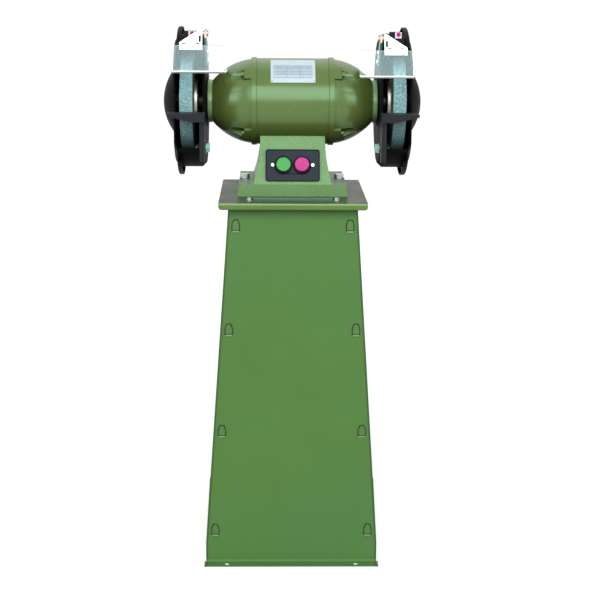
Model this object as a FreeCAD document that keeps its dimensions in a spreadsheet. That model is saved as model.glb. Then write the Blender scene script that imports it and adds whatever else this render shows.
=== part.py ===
import FreeCAD, Part
import math
import operator
import os

import Sketcher
from FreeCAD import Placement, Rotation, Vector

# Pedestal bench grinder: a tapered sheet-steel column with a tray top, and on it a
# double-ended grinder with two guarded wheels, tool rests, eye shields and a push-button switch.
# Frame: +X to the right, +Y to the back, +Z up, origin on the floor under the column's centre.

doc = FreeCAD.newDocument("pedestal_grinder")
sheet = doc.addObject("Spreadsheet::Sheet", "Sizes")

OPERATIONS = {"+": operator.add, "-": operator.sub, "*": operator.mul, "/": operator.truediv}
NORMAL_SIGN = {"XY": 1, "XZ": -1, "YZ": 1}
PLANE_TURN = {
    "XY": Rotation(),
    "XZ": Rotation(Vector(1, 0, 0), 90),
    "YZ": Rotation(Vector(1, 1, 1), 120),
}


# ---------------------------------------------------------------- sizes as expressions

class Size:
    """A number together with the spreadsheet expression that yields it."""

    def __init__(self, value, text):
        self.value = value
        self.text = text

    def __add__(self, other):
        return combine(self, "+", other)

    def __radd__(self, other):
        return combine(other, "+", self)

    def __sub__(self, other):
        return combine(self, "-", other)

    def __rsub__(self, other):
        return combine(other, "-", self)

    def __mul__(self, other):
        return combine(self, "*", other)

    def __rmul__(self, other):
        return combine(other, "*", self)

    def __truediv__(self, other):
        return combine(self, "/", other)

    def __neg__(self):
        return combine(0, "-", self)


def number(a):
    return a.value if isinstance(a, Size) else float(a)


def text(a):
    if isinstance(a, Size):
        return a.text
    return "(" + format(a, ".10g") + ")"


def combine(a, sign, b):
    value = OPERATIONS[sign](number(a), number(b))
    return Size(value, "(" + text(a) + " " + sign + " " + text(b) + ")")


def root(a):
    return Size(math.sqrt(number(a)), "sqrt(" + text(a) + ")")


def arctan(a):
    """Angle in degrees whose tangent is a."""
    return Size(math.degrees(math.atan(number(a))), "(atan(" + text(a) + ") / 1deg)")


def size(alias, value, note):
    """One driving dimension: a spreadsheet cell with an alias, and its note beside it."""
    size.row += 1
    sheet.set("A" + str(size.row), note)
    sheet.set("B" + str(size.row), str(value))
    sheet.setAlias("B" + str(size.row), alias)
    return Size(value, "Sizes." + alias)


size.row = 0


# ---------------------------------------------------------------- driving dimensions, mm

# column
column_height = size("column_height", 730.5, "floor to the underside of the top plate")
panel_sheet = size("panel_sheet", 2.0, "sheet of the column panels")
top_width = size("top_width", 249.6, "column width at the top")
bottom_width = size("bottom_width", 344.0, "column width at the foot")
top_depth = size("top_depth", 278.0, "column depth at the top")
bottom_depth = size("bottom_depth", 334.4, "column depth at the floor")
straight_height = size("straight_height", 41.0, "upright stretch of the side edges above the floor")
edge_flare = size("edge_flare", 0.9, "side edges stand out this much in the lower stretch")
edge_flare_height = size("edge_flare_height", 178.0, "floor to the top of that stretch")
foot_flange = size("foot_flange", 22.0, "floor flange of the front and rear panels")
foot_flange_width = size("foot_flange_width", 350.0, "length of the floor flange")
top_flange = size("top_flange", 34.0, "turned-in flange under the top plate")
side_return = size("side_return", 30.0, "turned-in edges of the side panels")
panel_gap = size("panel_gap", 0.3, "gap between lapped panels")
anchor_radius = size("anchor_radius", 5.0, "floor anchor hole")
anchor_spacing = size("anchor_spacing", 259.0, "floor anchors, left to right")
hook_rows = 4
hook_bottom = size("hook_bottom", 60.2, "floor to the sill of the lowest hook window")
hook_top = size("hook_top", 53.5, "column's top to the sill of the highest window")
hook_inset = size("hook_inset", 16.8, "window centre to the panel's edge")
hook_width = size("hook_width", 14.4, "hook window width")
hook_height = size("hook_height", 21.0, "hook window height")
hook_crown = size("hook_crown", 8.0, "width of the window's narrow head")
hook_shoulder = size("hook_shoulder", 12.5, "sill to the window's shoulder")
hook_clearance = size("hook_clearance", 0.9, "gap between a hook and its window")
hook_proud = size("hook_proud", 2.4, "hook face proud of the panel")
hook_lip = size("hook_lip", 3.2, "length of the hook's lip below the sill")

# top plate
plate_width = size("plate_width", 288.0, "top plate, left to right")
plate_depth = size("plate_depth", 321.0, "top plate, front to back")
plate_sheet = size("plate_sheet", 2.5, "sheet of the top plate")
plate_lip = size("plate_lip", 12.5, "height of the turned-down lip")
plate_corner = size("plate_corner", 5.0, "corner radius of the top plate")
lip_round = size("lip_round", 6.0, "rounding along the lower edge of the side lips")
plate_hole = size("plate_hole", 25.0, "wiring hole in the top plate, radius")
plate_bolt_x = size("plate_bolt_x", 84.5, "top plate bolts, half spacing across")
plate_bolt_inset = size("plate_bolt_inset", 20.0, "column's front face to the front plate bolts")
rear_bolt_inset = size("rear_bolt_inset", 12.0, "column's rear face to the rear plate bolts")
plate_bolt_radius = size("plate_bolt_radius", 3.0, "top plate bolt shank")
strip_length = size("strip_length", 154.0, "plated strip on the top plate")
strip_depth = size("strip_depth", 10.0, "plated strip, front to back")
strip_height = size("strip_height", 5.0, "plated strip, height")
strip_edge = size("strip_edge", 1.0, "edge bevel of the plated strip")
strip_inset = size("strip_inset", 41.5, "plated strip behind the plate's front edge")

# base casting
casting_front_margin = size("casting_front_margin", 65.0, "column's front face to the casting's foot")
casting_rear_margin = size("casting_rear_margin", 25.0, "casting's foot to the column's rear face")
shaft_rise = size("shaft_rise", 179.0, "top plate to the shaft axis")
foot_half = size("foot_half", 109.0, "casting's foot, half width at the plate")
foot_draft = size("foot_draft", 2.8, "draft of the foot's ends")
foot_height = size("foot_height", 24.5, "casting's foot, height")
shoulder_half = size("shoulder_half", 78.4, "half width of the body on the foot")
waist_half = size("waist_half", 64.3, "half width of the body under the motor")
waist_height = size("waist_height", 118.0, "plate to the top of the body's sides")
flare_radius = size("flare_radius", 280.0, "sweep of the body's sides")
body_rise = size("body_rise", 88.0, "height of the leaning front face")
body_lean = size("body_lean", 34.4, "how far the front face leans back over its height")
cavity_half = size("cavity_half", 54.0, "half width of the wiring space")
cavity_wall = size("cavity_wall", 38.0, "foot's front and rear to the wiring space")
cavity_roof = size("cavity_roof", 11.0, "casting under the motor at its thinnest")
lower_cavity_half = size("lower_cavity_half", 68.0, "half width of the space in the foot")
lower_wall = size("lower_wall", 12.0, "front and rear walls of the foot")
lower_cavity_height = size("lower_cavity_height", 34.0, "space in the foot, height")
base_bolt_x = size("base_bolt_x", 95.5, "base bolts, half spacing")
base_bolt_radius = size("base_bolt_radius", 5.0, "base bolt shank")
bolt_clearance = size("bolt_clearance", 0.5, "clearance round bolt shanks")
washer_thick = size("washer_thick", 1.6, "washers")
cover_plate = size("cover_plate", 2.0, "casting's bottom cover, thickness")
cover_gap = size("cover_gap", 0.5, "bottom cover to the casting's wall")
capacitor_radius = size("capacitor_radius", 17.0, "motor capacitor, radius")
capacitor_length = size("capacitor_length", 80.0, "motor capacitor, length")
gland_radius = size("gland_radius", 9.0, "cable gland thread, radius")
gland_height = size("gland_height", 52.0, "plate to the gland's centre")

# switch
switch_width = size("switch_width", 107.0, "switch plate, left to right")
switch_height = size("switch_height", 64.0, "switch plate, up the face")
switch_thick = size("switch_thick", 4.0, "switch plate thickness")
switch_corner = size("switch_corner", 5.0, "switch plate corner radius")
switch_rise = size("switch_rise", 35.5, "foot of the leaning face to the switch centre, upright")
button_radius = size("button_radius", 14.2, "push buttons, radius")
button_offset = size("button_offset", 18.2, "push button to the switch centre")
button_proud = size("button_proud", 5.5, "push button above its collar")
bezel_width = size("bezel_width", 2.2, "ring round a push button, width")
bezel_height = size("bezel_height", 2.0, "ring round a push button, above the collar")
button_travel = size("button_travel", 3.0, "push button travel")
button_gap = size("button_gap", 0.4, "clearance round a button")
collar_radius = size("collar_radius", 17.6, "raised surround of the buttons, end radius")
collar_height = size("collar_height", 2.5, "raised surround of the buttons, height")
switch_screw_x = size("switch_screw_x", 39.6, "switch screws, half spacing")
switch_screw_radius = size("switch_screw_radius", 3.3, "switch screw head, radius")
switch_body_width = size("switch_body_width", 66.0, "switch block, width")
switch_body_height = size("switch_body_height", 34.0, "switch block, height")
switch_body_depth = size("switch_body_depth", 30.0, "switch block, depth")

# motor
motor_radius = size("motor_radius", 85.5, "motor housing, outer radius")
motor_bore = size("motor_bore", 76.0, "motor housing, bore radius")
motor_half = size("motor_half", 71.4, "half length of the motor housing")
ring_radius = size("ring_radius", 87.5, "end bell's rim, radius")
ring_width = size("ring_width", 10.3, "end bell's rim, width")
bell_length = size("bell_length", 77.7, "end bell, rim to neck")
dome_radius = size("dome_radius", 120.0, "radius of the end bell's curve")
dome_centre_x = size("dome_centre_x", 66.8, "motor centre to the centre of the bell's curve")
dome_centre_drop = size("dome_centre_drop", 35.1, "centre of the bell's curve beyond the axis")
bell_wall = size("bell_wall", 13.0, "end bell wall")
neck_radius = size("neck_radius", 42.7, "end bell's neck, radius")
neck_length = size("neck_length", 9.0, "end bell's neck, length")
neck_groove = size("neck_groove", 0.9, "groove between bell and neck")
neck_bore = size("neck_bore", 18.0, "bore of the neck, radius")
thread_depth = size("thread_depth", 12.0, "screw threads in the neck")
seal_length = size("seal_length", 26.3, "neck face to the bearing")
boss_radius = size("boss_radius", 29.5, "bearing boss, radius")
spigot_length = size("spigot_length", 8.0, "bell's spigot in the housing")
spigot_wall = size("spigot_wall", 4.6, "bell's spigot, wall")
lug_length = size("lug_length", 14.0, "tie bolt lugs, length")
lug_half = size("lug_half", 14.4, "tie bolt lugs, half width")
lug_depth = size("lug_depth", 15.5, "tie bolt lugs, depth")
tie_circle = size("tie_circle", 80.7, "tie bolts, circle radius")
tie_radius = size("tie_radius", 3.0, "tie bolt shank")
tie_grip = size("tie_grip", 18.0, "tie bolt thread in the housing")
tie_clearance = size("tie_clearance", 0.08, "clearance of a tie bolt in its thread")
pocket_radius = size("pocket_radius", 13.0, "scooped bolt pockets, radius")
pocket_circle = size("pocket_circle", 84.0, "scooped bolt pockets, circle radius")
name_width = size("name_width", 87.5, "motor plate, left to right")
name_thick = size("name_thick", 0.8, "motor plate thickness")
name_low_angle = size("name_low_angle", 30.0, "motor plate, lower edge above the horizontal, degrees")
name_high_angle = size("name_high_angle", 75.0, "motor plate, upper edge above the horizontal, degrees")
stator_half = size("stator_half", 38.0, "half length of the stator core")
stator_bore = size("stator_bore", 46.0, "stator bore, radius")
air_gap = size("air_gap", 0.6, "rotor to stator")
winding_reach = size("winding_reach", 20.0, "end turns beyond the stator core")
winding_outer = size("winding_outer", 69.0, "end turns, outer radius")
winding_inner = size("winding_inner", 52.0, "end turns, inner radius")
rotor_ring = size("rotor_ring", 8.0, "rotor end rings, length")
fit_gap = size("fit_gap", 0.05, "seat clearance on the shaft")
face_gap = size("face_gap", 0.3, "clearance between faces that must not rub")

# spindle and wheels
shaft_core = size("shaft_core", 12.5, "shaft radius in the motor")
shaft_end = size("shaft_end", 10.0, "shaft radius at the bearings and wheels")
bearing_width = size("bearing_width", 14.0, "ball bearing width")
bearing_outer = size("bearing_outer", 23.5, "ball bearing outer radius")
race_thick = size("race_thick", 3.6, "bearing race, thickness")
ball_count = 8
wheel_radius = size("wheel_radius", 100.0, "grinding wheel, radius")
wheel_width = size("wheel_width", 25.0, "grinding wheel, width")
wheel_gap = size("wheel_gap", 19.9, "guard plate to the wheel")
flange_radius = size("flange_radius", 42.0, "wheel flanges, radius")
flange_thick = size("flange_thick", 7.0, "inner wheel flange, thickness")
flange_hub = size("flange_hub", 16.0, "inner flange hub, radius")
outer_flange_thick = size("outer_flange_thick", 6.0, "outer wheel flange, thickness")
flange_relief = size("flange_relief", 1.5, "hollow in the flange faces")
blotter_radius = size("blotter_radius", 45.0, "paper blotters, radius")
blotter_thick = size("blotter_thick", 1.0, "paper blotters, thickness")
nut_flats = size("nut_flats", 30.0, "spindle nut across flats")
nut_thick = size("nut_thick", 10.0, "spindle nut thickness")
shaft_over = size("shaft_over", 3.0, "shaft end beyond the nut")

# guards
guard_radius = size("guard_radius", 131.0, "guard band, outer radius")
guard_wall = size("guard_wall", 4.5, "guard band, wall")
guard_plate = size("guard_plate", 4.4, "guard inner plate, thickness")
guard_width = size("guard_width", 47.9, "guard band, width")
guard_bevel = size("guard_bevel", 8.5, "bevel round the inner plate")
guard_dish = size("guard_dish", 3.0, "inner plate stands out from its hub pad by this")
guard_pad = size("guard_pad", 48.0, "hub pad of the inner plate, radius")
guard_hub = size("guard_hub", 20.0, "hole in the guard plate, radius")
chord = size("chord", 95.0, "shaft axis to the guard's front cut")
upper_cut = size("upper_cut", 72.0, "shaft axis to the band's upper front end")
upper_cut_low = size("upper_cut_low", 40.0, "lower end of the band's upper cut")
ear_radius = size("ear_radius", 8.5, "cover screw ears, radius")
ear_circle = size("ear_circle", 134.5, "cover screw circle, radius")
ear_length = size("ear_length", 16.0, "cover screw ears, length")
ear_angles = (65, 0, -65)
cover_radius = size("cover_radius", 147.0, "outer cover, radius")
cover_sheet = size("cover_sheet", 3.0, "outer cover, thickness")
cover_step = size("cover_step", 6.0, "step from the cover's rim to its face")
cover_roll = size("cover_roll", 6.0, "cover's edge turned back toward the motor")
cover_rim = size("cover_rim", 130.0, "inner edge of the cover's rim")
cover_face = size("cover_face", 120.0, "outer edge of the cover's face")
bulge_radius = size("bulge_radius", 68.0, "cover's bulge, radius")
bulge_height = size("bulge_height", 25.0, "cover's bulge, height")
small_screw = size("small_screw", 2.5, "cover and bracket screw shank, radius")
small_head = size("small_head", 4.5, "cover and bracket screw head, radius")
small_head_height = size("small_head_height", 3.0, "cover and bracket screw head, height")
hub_screw_circle = size("hub_screw_circle", 31.0, "guard-to-neck screw circle, radius")

# tool rests
rest_gap = size("rest_gap", 3.2, "tool rest to the wheel")
rest_depth = size("rest_depth", 40.0, "tool rest table, front to back")
rest_thick = size("rest_thick", 5.0, "tool rest table, thickness")
rest_drop = size("rest_drop", 12.3, "shaft axis to the rest's surface")
rest_outer = size("rest_outer", 243.0, "outer end of the rest's table")
rest_rib = size("rest_rib", 8.0, "rib under the table's front, front to back")
rest_skirt = size("rest_skirt", 11.0, "rib below the rest's table, at its deep end")
arm_width = size("arm_width", 10.0, "rest arm, width")
arm_drop = size("arm_drop", 108.0, "shaft axis to the arm's lower end")
arm_depth = size("arm_depth", 26.0, "rest arm, front to back")
arm_gap = size("arm_gap", 0.4, "rest arm to the guard plate")
arm_clear = size("arm_clear", 3.0, "rest arm in front of the guard's cut")
rest_travel = size("rest_travel", 12.0, "tool rest travel")
rest_bolt_radius = size("rest_bolt_radius", 5.0, "rest bolt shank")
rest_bolt_back = size("rest_bolt_back", 68.0, "rest bolt in front of the shaft axis")
rest_bolt_drop = size("rest_bolt_drop", 85.5, "rest bolt below the shaft axis")
rest_bolt_flats = size("rest_bolt_flats", 17.0, "rest bolt across flats")
rest_bolt_head = size("rest_bolt_head", 6.4, "rest bolt head height")

# spark arresters and eye shields
arrester_sheet = size("arrester_sheet", 2.0, "spark arrester sheet")
arrester_back = size("arrester_back", 14.0, "arrester's rear end behind the shaft axis")
arrester_front = size("arrester_front", 78.0, "arrester's front face before the shaft axis")
arrester_low = size("arrester_low", 104.0, "arrester's lower edge above the shaft axis")
arrester_screw_y = size("arrester_screw_y", 4.0, "arrester screws behind the shaft axis")
arrester_screw_gap = size("arrester_screw_gap", 18.0, "arrester screws, spacing")
arrester_margin = size("arrester_margin", 3.0, "arrester short of the guard plate")
arrester_outer = size("arrester_outer", 1.0, "arrester short of the cover's turned edge")
arrester_high = size("arrester_high", 142.0, "top of the arrester's tab above the shaft axis")
tab_inset = size("tab_inset", 7.5, "arrester's tab, narrower at the motor's end")
tab_outer = size("tab_outer", 3.5, "arrester's tab, narrower at the cover's end")
shield_angle = size("shield_angle", 22.0, "eye shield, lean from upright, degrees")
shield_ahead = size("shield_ahead", 110.0, "shaft axis to the bracket's lower edge, forward")
shield_rise = size("shield_rise", 102.8, "shaft axis to the bracket's lower edge, up")
shield_lift = size("shield_lift", 4.0, "left shield set this much higher, right one lower")
bracket_sheet = size("bracket_sheet", 1.5, "shield bracket sheet")
bracket_offset = size("bracket_offset", 4.0, "guard's plate to the bracket's ear")
bracket_outer = size("bracket_outer", 219.5, "shield bracket, outer edge from the centre")
bracket_top = size("bracket_top", 42.0, "shield bracket, height at its inner edge")
bracket_side = size("bracket_side", 15.0, "shield bracket, height at its outer edge")
bracket_head = size("bracket_head", 4.0, "shield bracket, width of its top")
shield_inner = size("shield_inner", 127.0, "eye shield, inner edge from the centre")
shield_outer = size("shield_outer", 230.0, "eye shield, outer edge from the centre")
shield_drop = size("shield_drop", 45.2, "eye shield below the bracket's edge")
shield_flare = size("shield_flare", 4.0, "eye shield wider at its lower edge by this")
shield_overlap = size("shield_overlap", 10.0, "eye shield behind the bracket")
shield_sheet = size("shield_sheet", 3.0, "eye shield thickness")
shield_corner = size("shield_corner", 4.0, "cut of the eye shield's corners")
shield_lip = size("shield_lip", 5.0, "forward lip along the eye shield's lower edge")
shield_screw_gap = size("shield_screw_gap", 26.0, "eye shield screws, spacing")
shield_screw_up = size("shield_screw_up", 5.0, "bracket's lower edge to the shield screws")
bracket_slot_low = size("bracket_slot_low", 16.0, "bracket's slot, lower end")
bracket_slot_high = size("bracket_slot_high", 29.0, "bracket's slot, upper end")
ear_drop = size("ear_drop", 14.0, "bracket's ear below the pivot")
pivot_up = size("pivot_up", 37.0, "shield pivot above the bracket's lower edge, along it")
pivot_behind = size("pivot_behind", 9.0, "shield pivot behind the bracket's face")
pivot_radius = size("pivot_radius", 3.0, "shield pivot pin, radius")
pivot_clearance = size("pivot_clearance", 0.08, "pin clearance in the bracket's ear")
bar_thick = size("bar_thick", 4.0, "shield bar thickness")
bar_half = size("bar_half", 8.0, "shield bar, half width")
bar_screw_y = size("bar_screw_y", 44.0, "lower bar screw in front of the shaft axis")
bar_screw_z = size("bar_screw_z", 82.0, "lower bar screw above the shaft axis")
bar_screw_run = size("bar_screw_run", 11.0, "upper bar screw in front of the lower one")
bar_screw_rise = size("bar_screw_rise", 18.0, "upper bar screw above the lower one")

doc.recompute()

# ---------------------------------------------------------------- places worked out from the sizes

plate_top = column_height + plate_sheet
shaft_height = plate_top + shaft_rise
edge_slope = (bottom_width - top_width) / 2 / (column_height - straight_height)
face_slope = (bottom_depth - top_depth) / 2 / column_height
ring_end = motor_half + ring_width
neck_start = ring_end + bell_length
neck_end = neck_start + neck_length
bearing_end = neck_end - seal_length
bearing_start = bearing_end - bearing_width
plate_in = neck_end + guard_dish
plate_out = plate_in + guard_plate
band_end = plate_out + guard_width
wheel_in = plate_out + wheel_gap
wheel_out = wheel_in + wheel_width
nut_start = wheel_out + blotter_thick + outer_flange_thick
shaft_tip = nut_start + nut_thick + shaft_over
arm_in = plate_out + arm_gap
arm_out = plate_in + arm_width
casting_front = casting_front_margin - top_depth / 2
casting_back = top_depth / 2 - casting_rear_margin
casting_depth = casting_back - casting_front
setback = (casting_front + casting_back) / 2
cavity_depth = casting_depth - cavity_wall * 2
lower_cavity_depth = casting_depth - lower_wall * 2
foot_top = plate_top + foot_height
lean_angle = arctan(body_lean / body_rise)
rest_front = chord + arm_clear


def half_width(z):
    """Half width of the column's tapered stretch at height z."""
    return top_width / 2 + (column_height - z) * edge_slope


def face_depth(z):
    """Front face of the column from its centre plane at height z."""
    return top_depth / 2 + (column_height - z) * face_slope


def bell_radius(x, radius):
    """Radius of the end bell's curve at x from the motor's centre."""
    return root(radius * radius - (x - dome_centre_x) * (x - dome_centre_x)) - dome_centre_drop


# ---------------------------------------------------------------- outlines

def circle(x, y, r):
    return ("circle", x, y, r)


def outline(*points):
    """Closed outline. A point (x, y, r) is reached by an arc of radius r, centre left (+) or right (-)."""
    return ("outline", points)


def rectangle(x0, y0, x1, y1):
    return outline((x0, y0), (x1, y0), (x1, y1), (x0, y1))


def rounded(x0, y0, x1, y1, r):
    return outline((x1 - r, y0), (x1, y0 + r, r), (x1, y1 - r), (x1 - r, y1, r),
                   (x0 + r, y1), (x0, y1 - r, r), (x0, y0 + r), (x0 + r, y0, r))


def slot(x0, x1, y, r):
    """Slot along the first axis, between end centres x0 and x1."""
    return outline((x1, y - r), (x1, y + r, r), (x0, y + r), (x0, y - r, r))


def hexagon(x, y, flats):
    corner = flats / math.sqrt(3)
    angles = [math.radians(60 * k) for k in range(6)]
    return outline(*[(x + corner * round(math.cos(a), 9), y + corner * round(math.sin(a), 9)) for a in angles])


def turned(shape, side):
    """The same outline with its first axis flipped for the left side."""
    points = [(side * p[0], p[1]) + ((side * p[2],) if len(p) == 3 else ()) for p in shape[1]]
    return ("outline", points)


def spokes(radius, angles):
    """Centres on a circle, at angles in degrees from +Y towards +Z."""
    return [(radius * round(math.cos(math.radians(a)), 9), radius * round(math.sin(math.radians(a)), 9))
            for a in angles]


def draw(sketch, shapes):
    """Draw outlines and circles in a sketch, each point and radius held by an expression.

    A half circle is held by its centre, as its ends alone already fix its radius."""
    bound = []
    constraints = []

    def hold(kind, value, *where):
        bound.append(text(value))
        constraints.append(Sketcher.Constraint(kind, *where, number(value)))

    def free(kind, *where):
        bound.append(None)
        constraints.append(Sketcher.Constraint(kind, *where))

    def hold_point(x, y, part, end):
        hold("DistanceX", x, -1, 1, part, end)
        hold("DistanceY", y, -1, 1, part, end)

    for shape in shapes:
        if shape[0] == "circle":
            centre = Vector(number(shape[1]), number(shape[2]), 0)
            part = sketch.addGeometry(Part.Circle(centre, Vector(0, 0, 1), number(shape[3])))
            hold_point(shape[1], shape[2], part, 3)
            hold("Radius", shape[3], part)
            continue
        ends = []
        points = shape[1]
        for index, point in enumerate(points):
            before = Vector(number(points[index - 1][0]), number(points[index - 1][1]), 0)
            here = Vector(number(point[0]), number(point[1]), 0)
            if len(point) == 2:
                part = sketch.addGeometry(Part.LineSegment(before, here))
                ends.append((part, 1, 2))
            else:
                bend = number(point[2])
                part = sketch.addGeometry(arc(before, here, bend))
                ends.append((part, 1, 2) if bend > 0 else (part, 2, 1))
                if (here - before).Length < 2 * abs(bend) - 1e-6:
                    hold("Radius", point[2] if bend > 0 else 0 - point[2], part)
                elif abs(here.x - before.x) < 1e-6:
                    hold("DistanceX", point[0], -1, 1, part, 3)
                else:
                    hold("DistanceY", point[1], -1, 1, part, 3)
            hold_point(point[0], point[1], part, ends[-1][2])
        for index, (part, first, last) in enumerate(ends):
            free("Coincident", ends[index - 1][0], ends[index - 1][2], part, first)
    sketch.addConstraint(constraints)
    for index, expression in enumerate(bound):
        if expression is not None:
            sketch.setExpression("Constraints[" + str(index) + "]", expression)


def arc(start, end, radius):
    """Circular arc from start to end; its centre is on the left for a positive radius."""
    chord_line = end - start
    middle = (start + end) * 0.5
    left = Vector(-chord_line.y, chord_line.x, 0)
    left.normalize()
    rise = math.sqrt(max(radius * radius - chord_line.Length ** 2 / 4, 0.0))
    centre = middle + left * math.copysign(rise, radius)
    first, last = (start, end) if radius > 0 else (end, start)
    low = math.atan2(first.y - centre.y, first.x - centre.x)
    high = math.atan2(last.y - centre.y, last.x - centre.x)
    if high <= low:
        high += 2 * math.pi
    return Part.ArcOfCircle(Part.Circle(centre, Vector(0, 0, 1), abs(radius)), low, high)


# ---------------------------------------------------------------- pieces

subparts = {}


class Piece:
    """One sub-part as a PartDesign body, built by pads, cuts and turned profiles."""

    def __init__(self, name):
        self.body = doc.addObject("PartDesign::Body", name + "_body")
        self.body.Label = name
        self.body.AllowCompound = True
        subparts[name] = self.body

    def origin(self, role):
        return next(f for f in self.body.Origin.OriginFeatures if f.Role == role)

    def sketch(self, plane, at, shapes):
        sketch = self.body.newObject("Sketcher::SketchObject", "sketch")
        sketch.AttachmentSupport = (self.origin(plane + "_Plane"), "")
        sketch.MapMode = "FlatFace"
        offset = at if NORMAL_SIGN[plane] > 0 else 0 - at
        sketch.AttachmentOffset = Placement(Vector(0, 0, number(offset)), Rotation())
        sketch.setExpression("AttachmentOffset.Base.z", text(offset))
        draw(sketch, shapes)
        return sketch

    def pad(self, plane, at, length, *shapes):
        """Material from at to at + length along the plane's world axis."""
        feature = self.body.newObject("PartDesign::Pad", "pad")
        feature.Profile = self.sketch(plane, at, shapes)
        feature.Reversed = NORMAL_SIGN[plane] < 0
        feature.setExpression("Length", text(length))
        return self

    def cut(self, plane, at, length, *shapes):
        """Remove material from at to at + length along the plane's world axis."""
        feature = self.body.newObject("PartDesign::Pocket", "cut")
        feature.Profile = self.sketch(plane, at, shapes)
        feature.Reversed = NORMAL_SIGN[plane] > 0
        feature.setExpression("Length", text(length))
        return self

    def turn(self, axis, *shapes, angle=360):
        """Turned solid: profile in the XZ plane round its X axis (H) or Z axis (V)."""
        feature = self.body.newObject("PartDesign::Revolution", "turned")
        feature.Profile = self.sketch("XZ", 0, shapes)
        feature.ReferenceAxis = (feature.Profile[0], [axis + "_Axis"])
        feature.setExpression("Angle", text(angle))
        return self

    def span(self, side, near, far):
        """Start and length along X of a stretch from near to far, on the right (+1) or left (-1)."""
        return (near, far - near) if side > 0 else (0 - far, far - near)

    def pad_across(self, side, near, far, *shapes):
        start, length = self.span(side, near, far)
        return self.pad("YZ", start, length, *shapes)

    def cut_across(self, side, near, far, *shapes):
        start, length = self.span(side, near, far)
        return self.cut("YZ", start, length, *shapes)

    def place(self, x, y, z, axis=None, angle=None):
        place_object(self.body, x, y, z, axis, angle)
        return self

    def on_shaft(self):
        return self.place(0, setback, shaft_height)


def place_object(thing, x, y, z, axis=None, angle=None):
    if axis is not None:
        thing.Placement = Placement(Vector(), Rotation(axis, number(angle)))
        thing.setExpression("Placement.Rotation.Angle", text(angle))
    for name, value in (("x", x), ("y", y), ("z", z)):
        thing.setExpression("Placement.Base." + name, text(value))


def prism(plane, at, length, *shapes):
    """Extruded outline outside a body, for the boolean pieces."""
    sketch = doc.addObject("Sketcher::SketchObject", "outline")
    sketch.Placement = Placement(Vector(), PLANE_TURN[plane])
    draw(sketch, shapes)
    axis = {"XY": "z", "XZ": "y", "YZ": "x"}[plane]
    sketch.setExpression("Placement.Base." + axis, text(at))
    solid = doc.addObject("Part::Extrusion", "prism")
    solid.Base = sketch
    solid.DirMode = "Normal"
    solid.Solid = True
    solid.Reversed = NORMAL_SIGN[plane] < 0
    solid.setExpression("LengthFwd", text(length))
    return solid


def common(first, second):
    result = doc.addObject("Part::Common", "common")
    result.Base = first
    result.Tool = second
    return result


def less(first, second):
    result = doc.addObject("Part::Cut", "less")
    result.Base = first
    result.Tool = second
    return result


def joined(*shapes):
    result = doc.addObject("Part::MultiFuse", "joined")
    result.Shapes = list(shapes)
    result.Refine = True
    return result


def finished(name, thing):
    thing.Label = name
    subparts[name] = thing
    return thing


# ---------------------------------------------------------------- column

def hook_sills():
    pitch = (column_height - hook_top - hook_bottom) / (hook_rows - 1)
    return [hook_bottom + row * pitch for row in range(hook_rows)]


def hook_centre(sill):
    return half_width(sill + hook_height / 2) - hook_inset


def hook_outline(x, sill, margin):
    """Window outline with a narrow head; a hook is the same, smaller by the margin."""
    wide = hook_width / 2 - margin
    crown = hook_crown / 2 - margin
    return outline((x - wide, sill + margin), (x + wide, sill + margin), (x + wide, sill + hook_shoulder),
                   (x + crown, sill + hook_height - margin), (x - crown, sill + hook_height - margin),
                   (x - wide, sill + hook_shoulder))


def panel_edges():
    """Front outline of the column: floor flange, upright stretch, step and taper."""
    foot = foot_flange_width / 2
    low = bottom_width / 2
    stepped = half_width(edge_flare_height)
    top = top_width / 2
    right = [(foot, 0), (foot, panel_sheet), (low, panel_sheet), (low, straight_height),
             (stepped + edge_flare, edge_flare_height), (stepped, edge_flare_height), (top, column_height)]
    left = [(0 - x, z) for x, z in reversed(right)]
    return outline(*(right + left))


def end_panel(name, facing):
    """Front (-1) or rear (+1) panel: floor flange, leaning face, top flange, hook windows."""
    t = panel_sheet
    foot = bottom_depth / 2
    top = top_depth / 2
    section = [(foot + foot_flange, 0), (foot - t, 0), (top - t, column_height - t),
               (top - top_flange, column_height - t), (top - top_flange, column_height),
               (top, column_height), (foot, t), (foot + foot_flange, t)]
    strip = prism("YZ", 0 - foot_flange_width / 2, foot_flange_width,
                  turned(("outline", section), facing))
    trimmed = common(strip, prism("XZ", 0 - plate_depth, plate_depth * 2, panel_edges()))
    windows = [hook_outline(side * hook_centre(sill), sill, 0) for sill in hook_sills() for side in (-1, 1)]
    near = top_depth / 2 - top_flange
    holes = prism("XZ", near if facing > 0 else 0 - plate_depth, plate_depth - near, *windows)
    anchors = [circle(side * anchor_spacing / 2, facing * (foot + foot_flange / 2), anchor_radius)
               for side in (-1, 1)]
    inset = rear_bolt_inset if facing > 0 else plate_bolt_inset
    bolts = [circle(side * plate_bolt_x, facing * (top - inset), plate_bolt_radius + bolt_clearance)
             for side in (-1, 1)]
    drilled = joined(holes, prism("XY", -1, t + 2, *anchors), prism("XY", column_height - t - 1, t + 2, *bolts))
    finished(name, less(trimmed, drilled))


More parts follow.
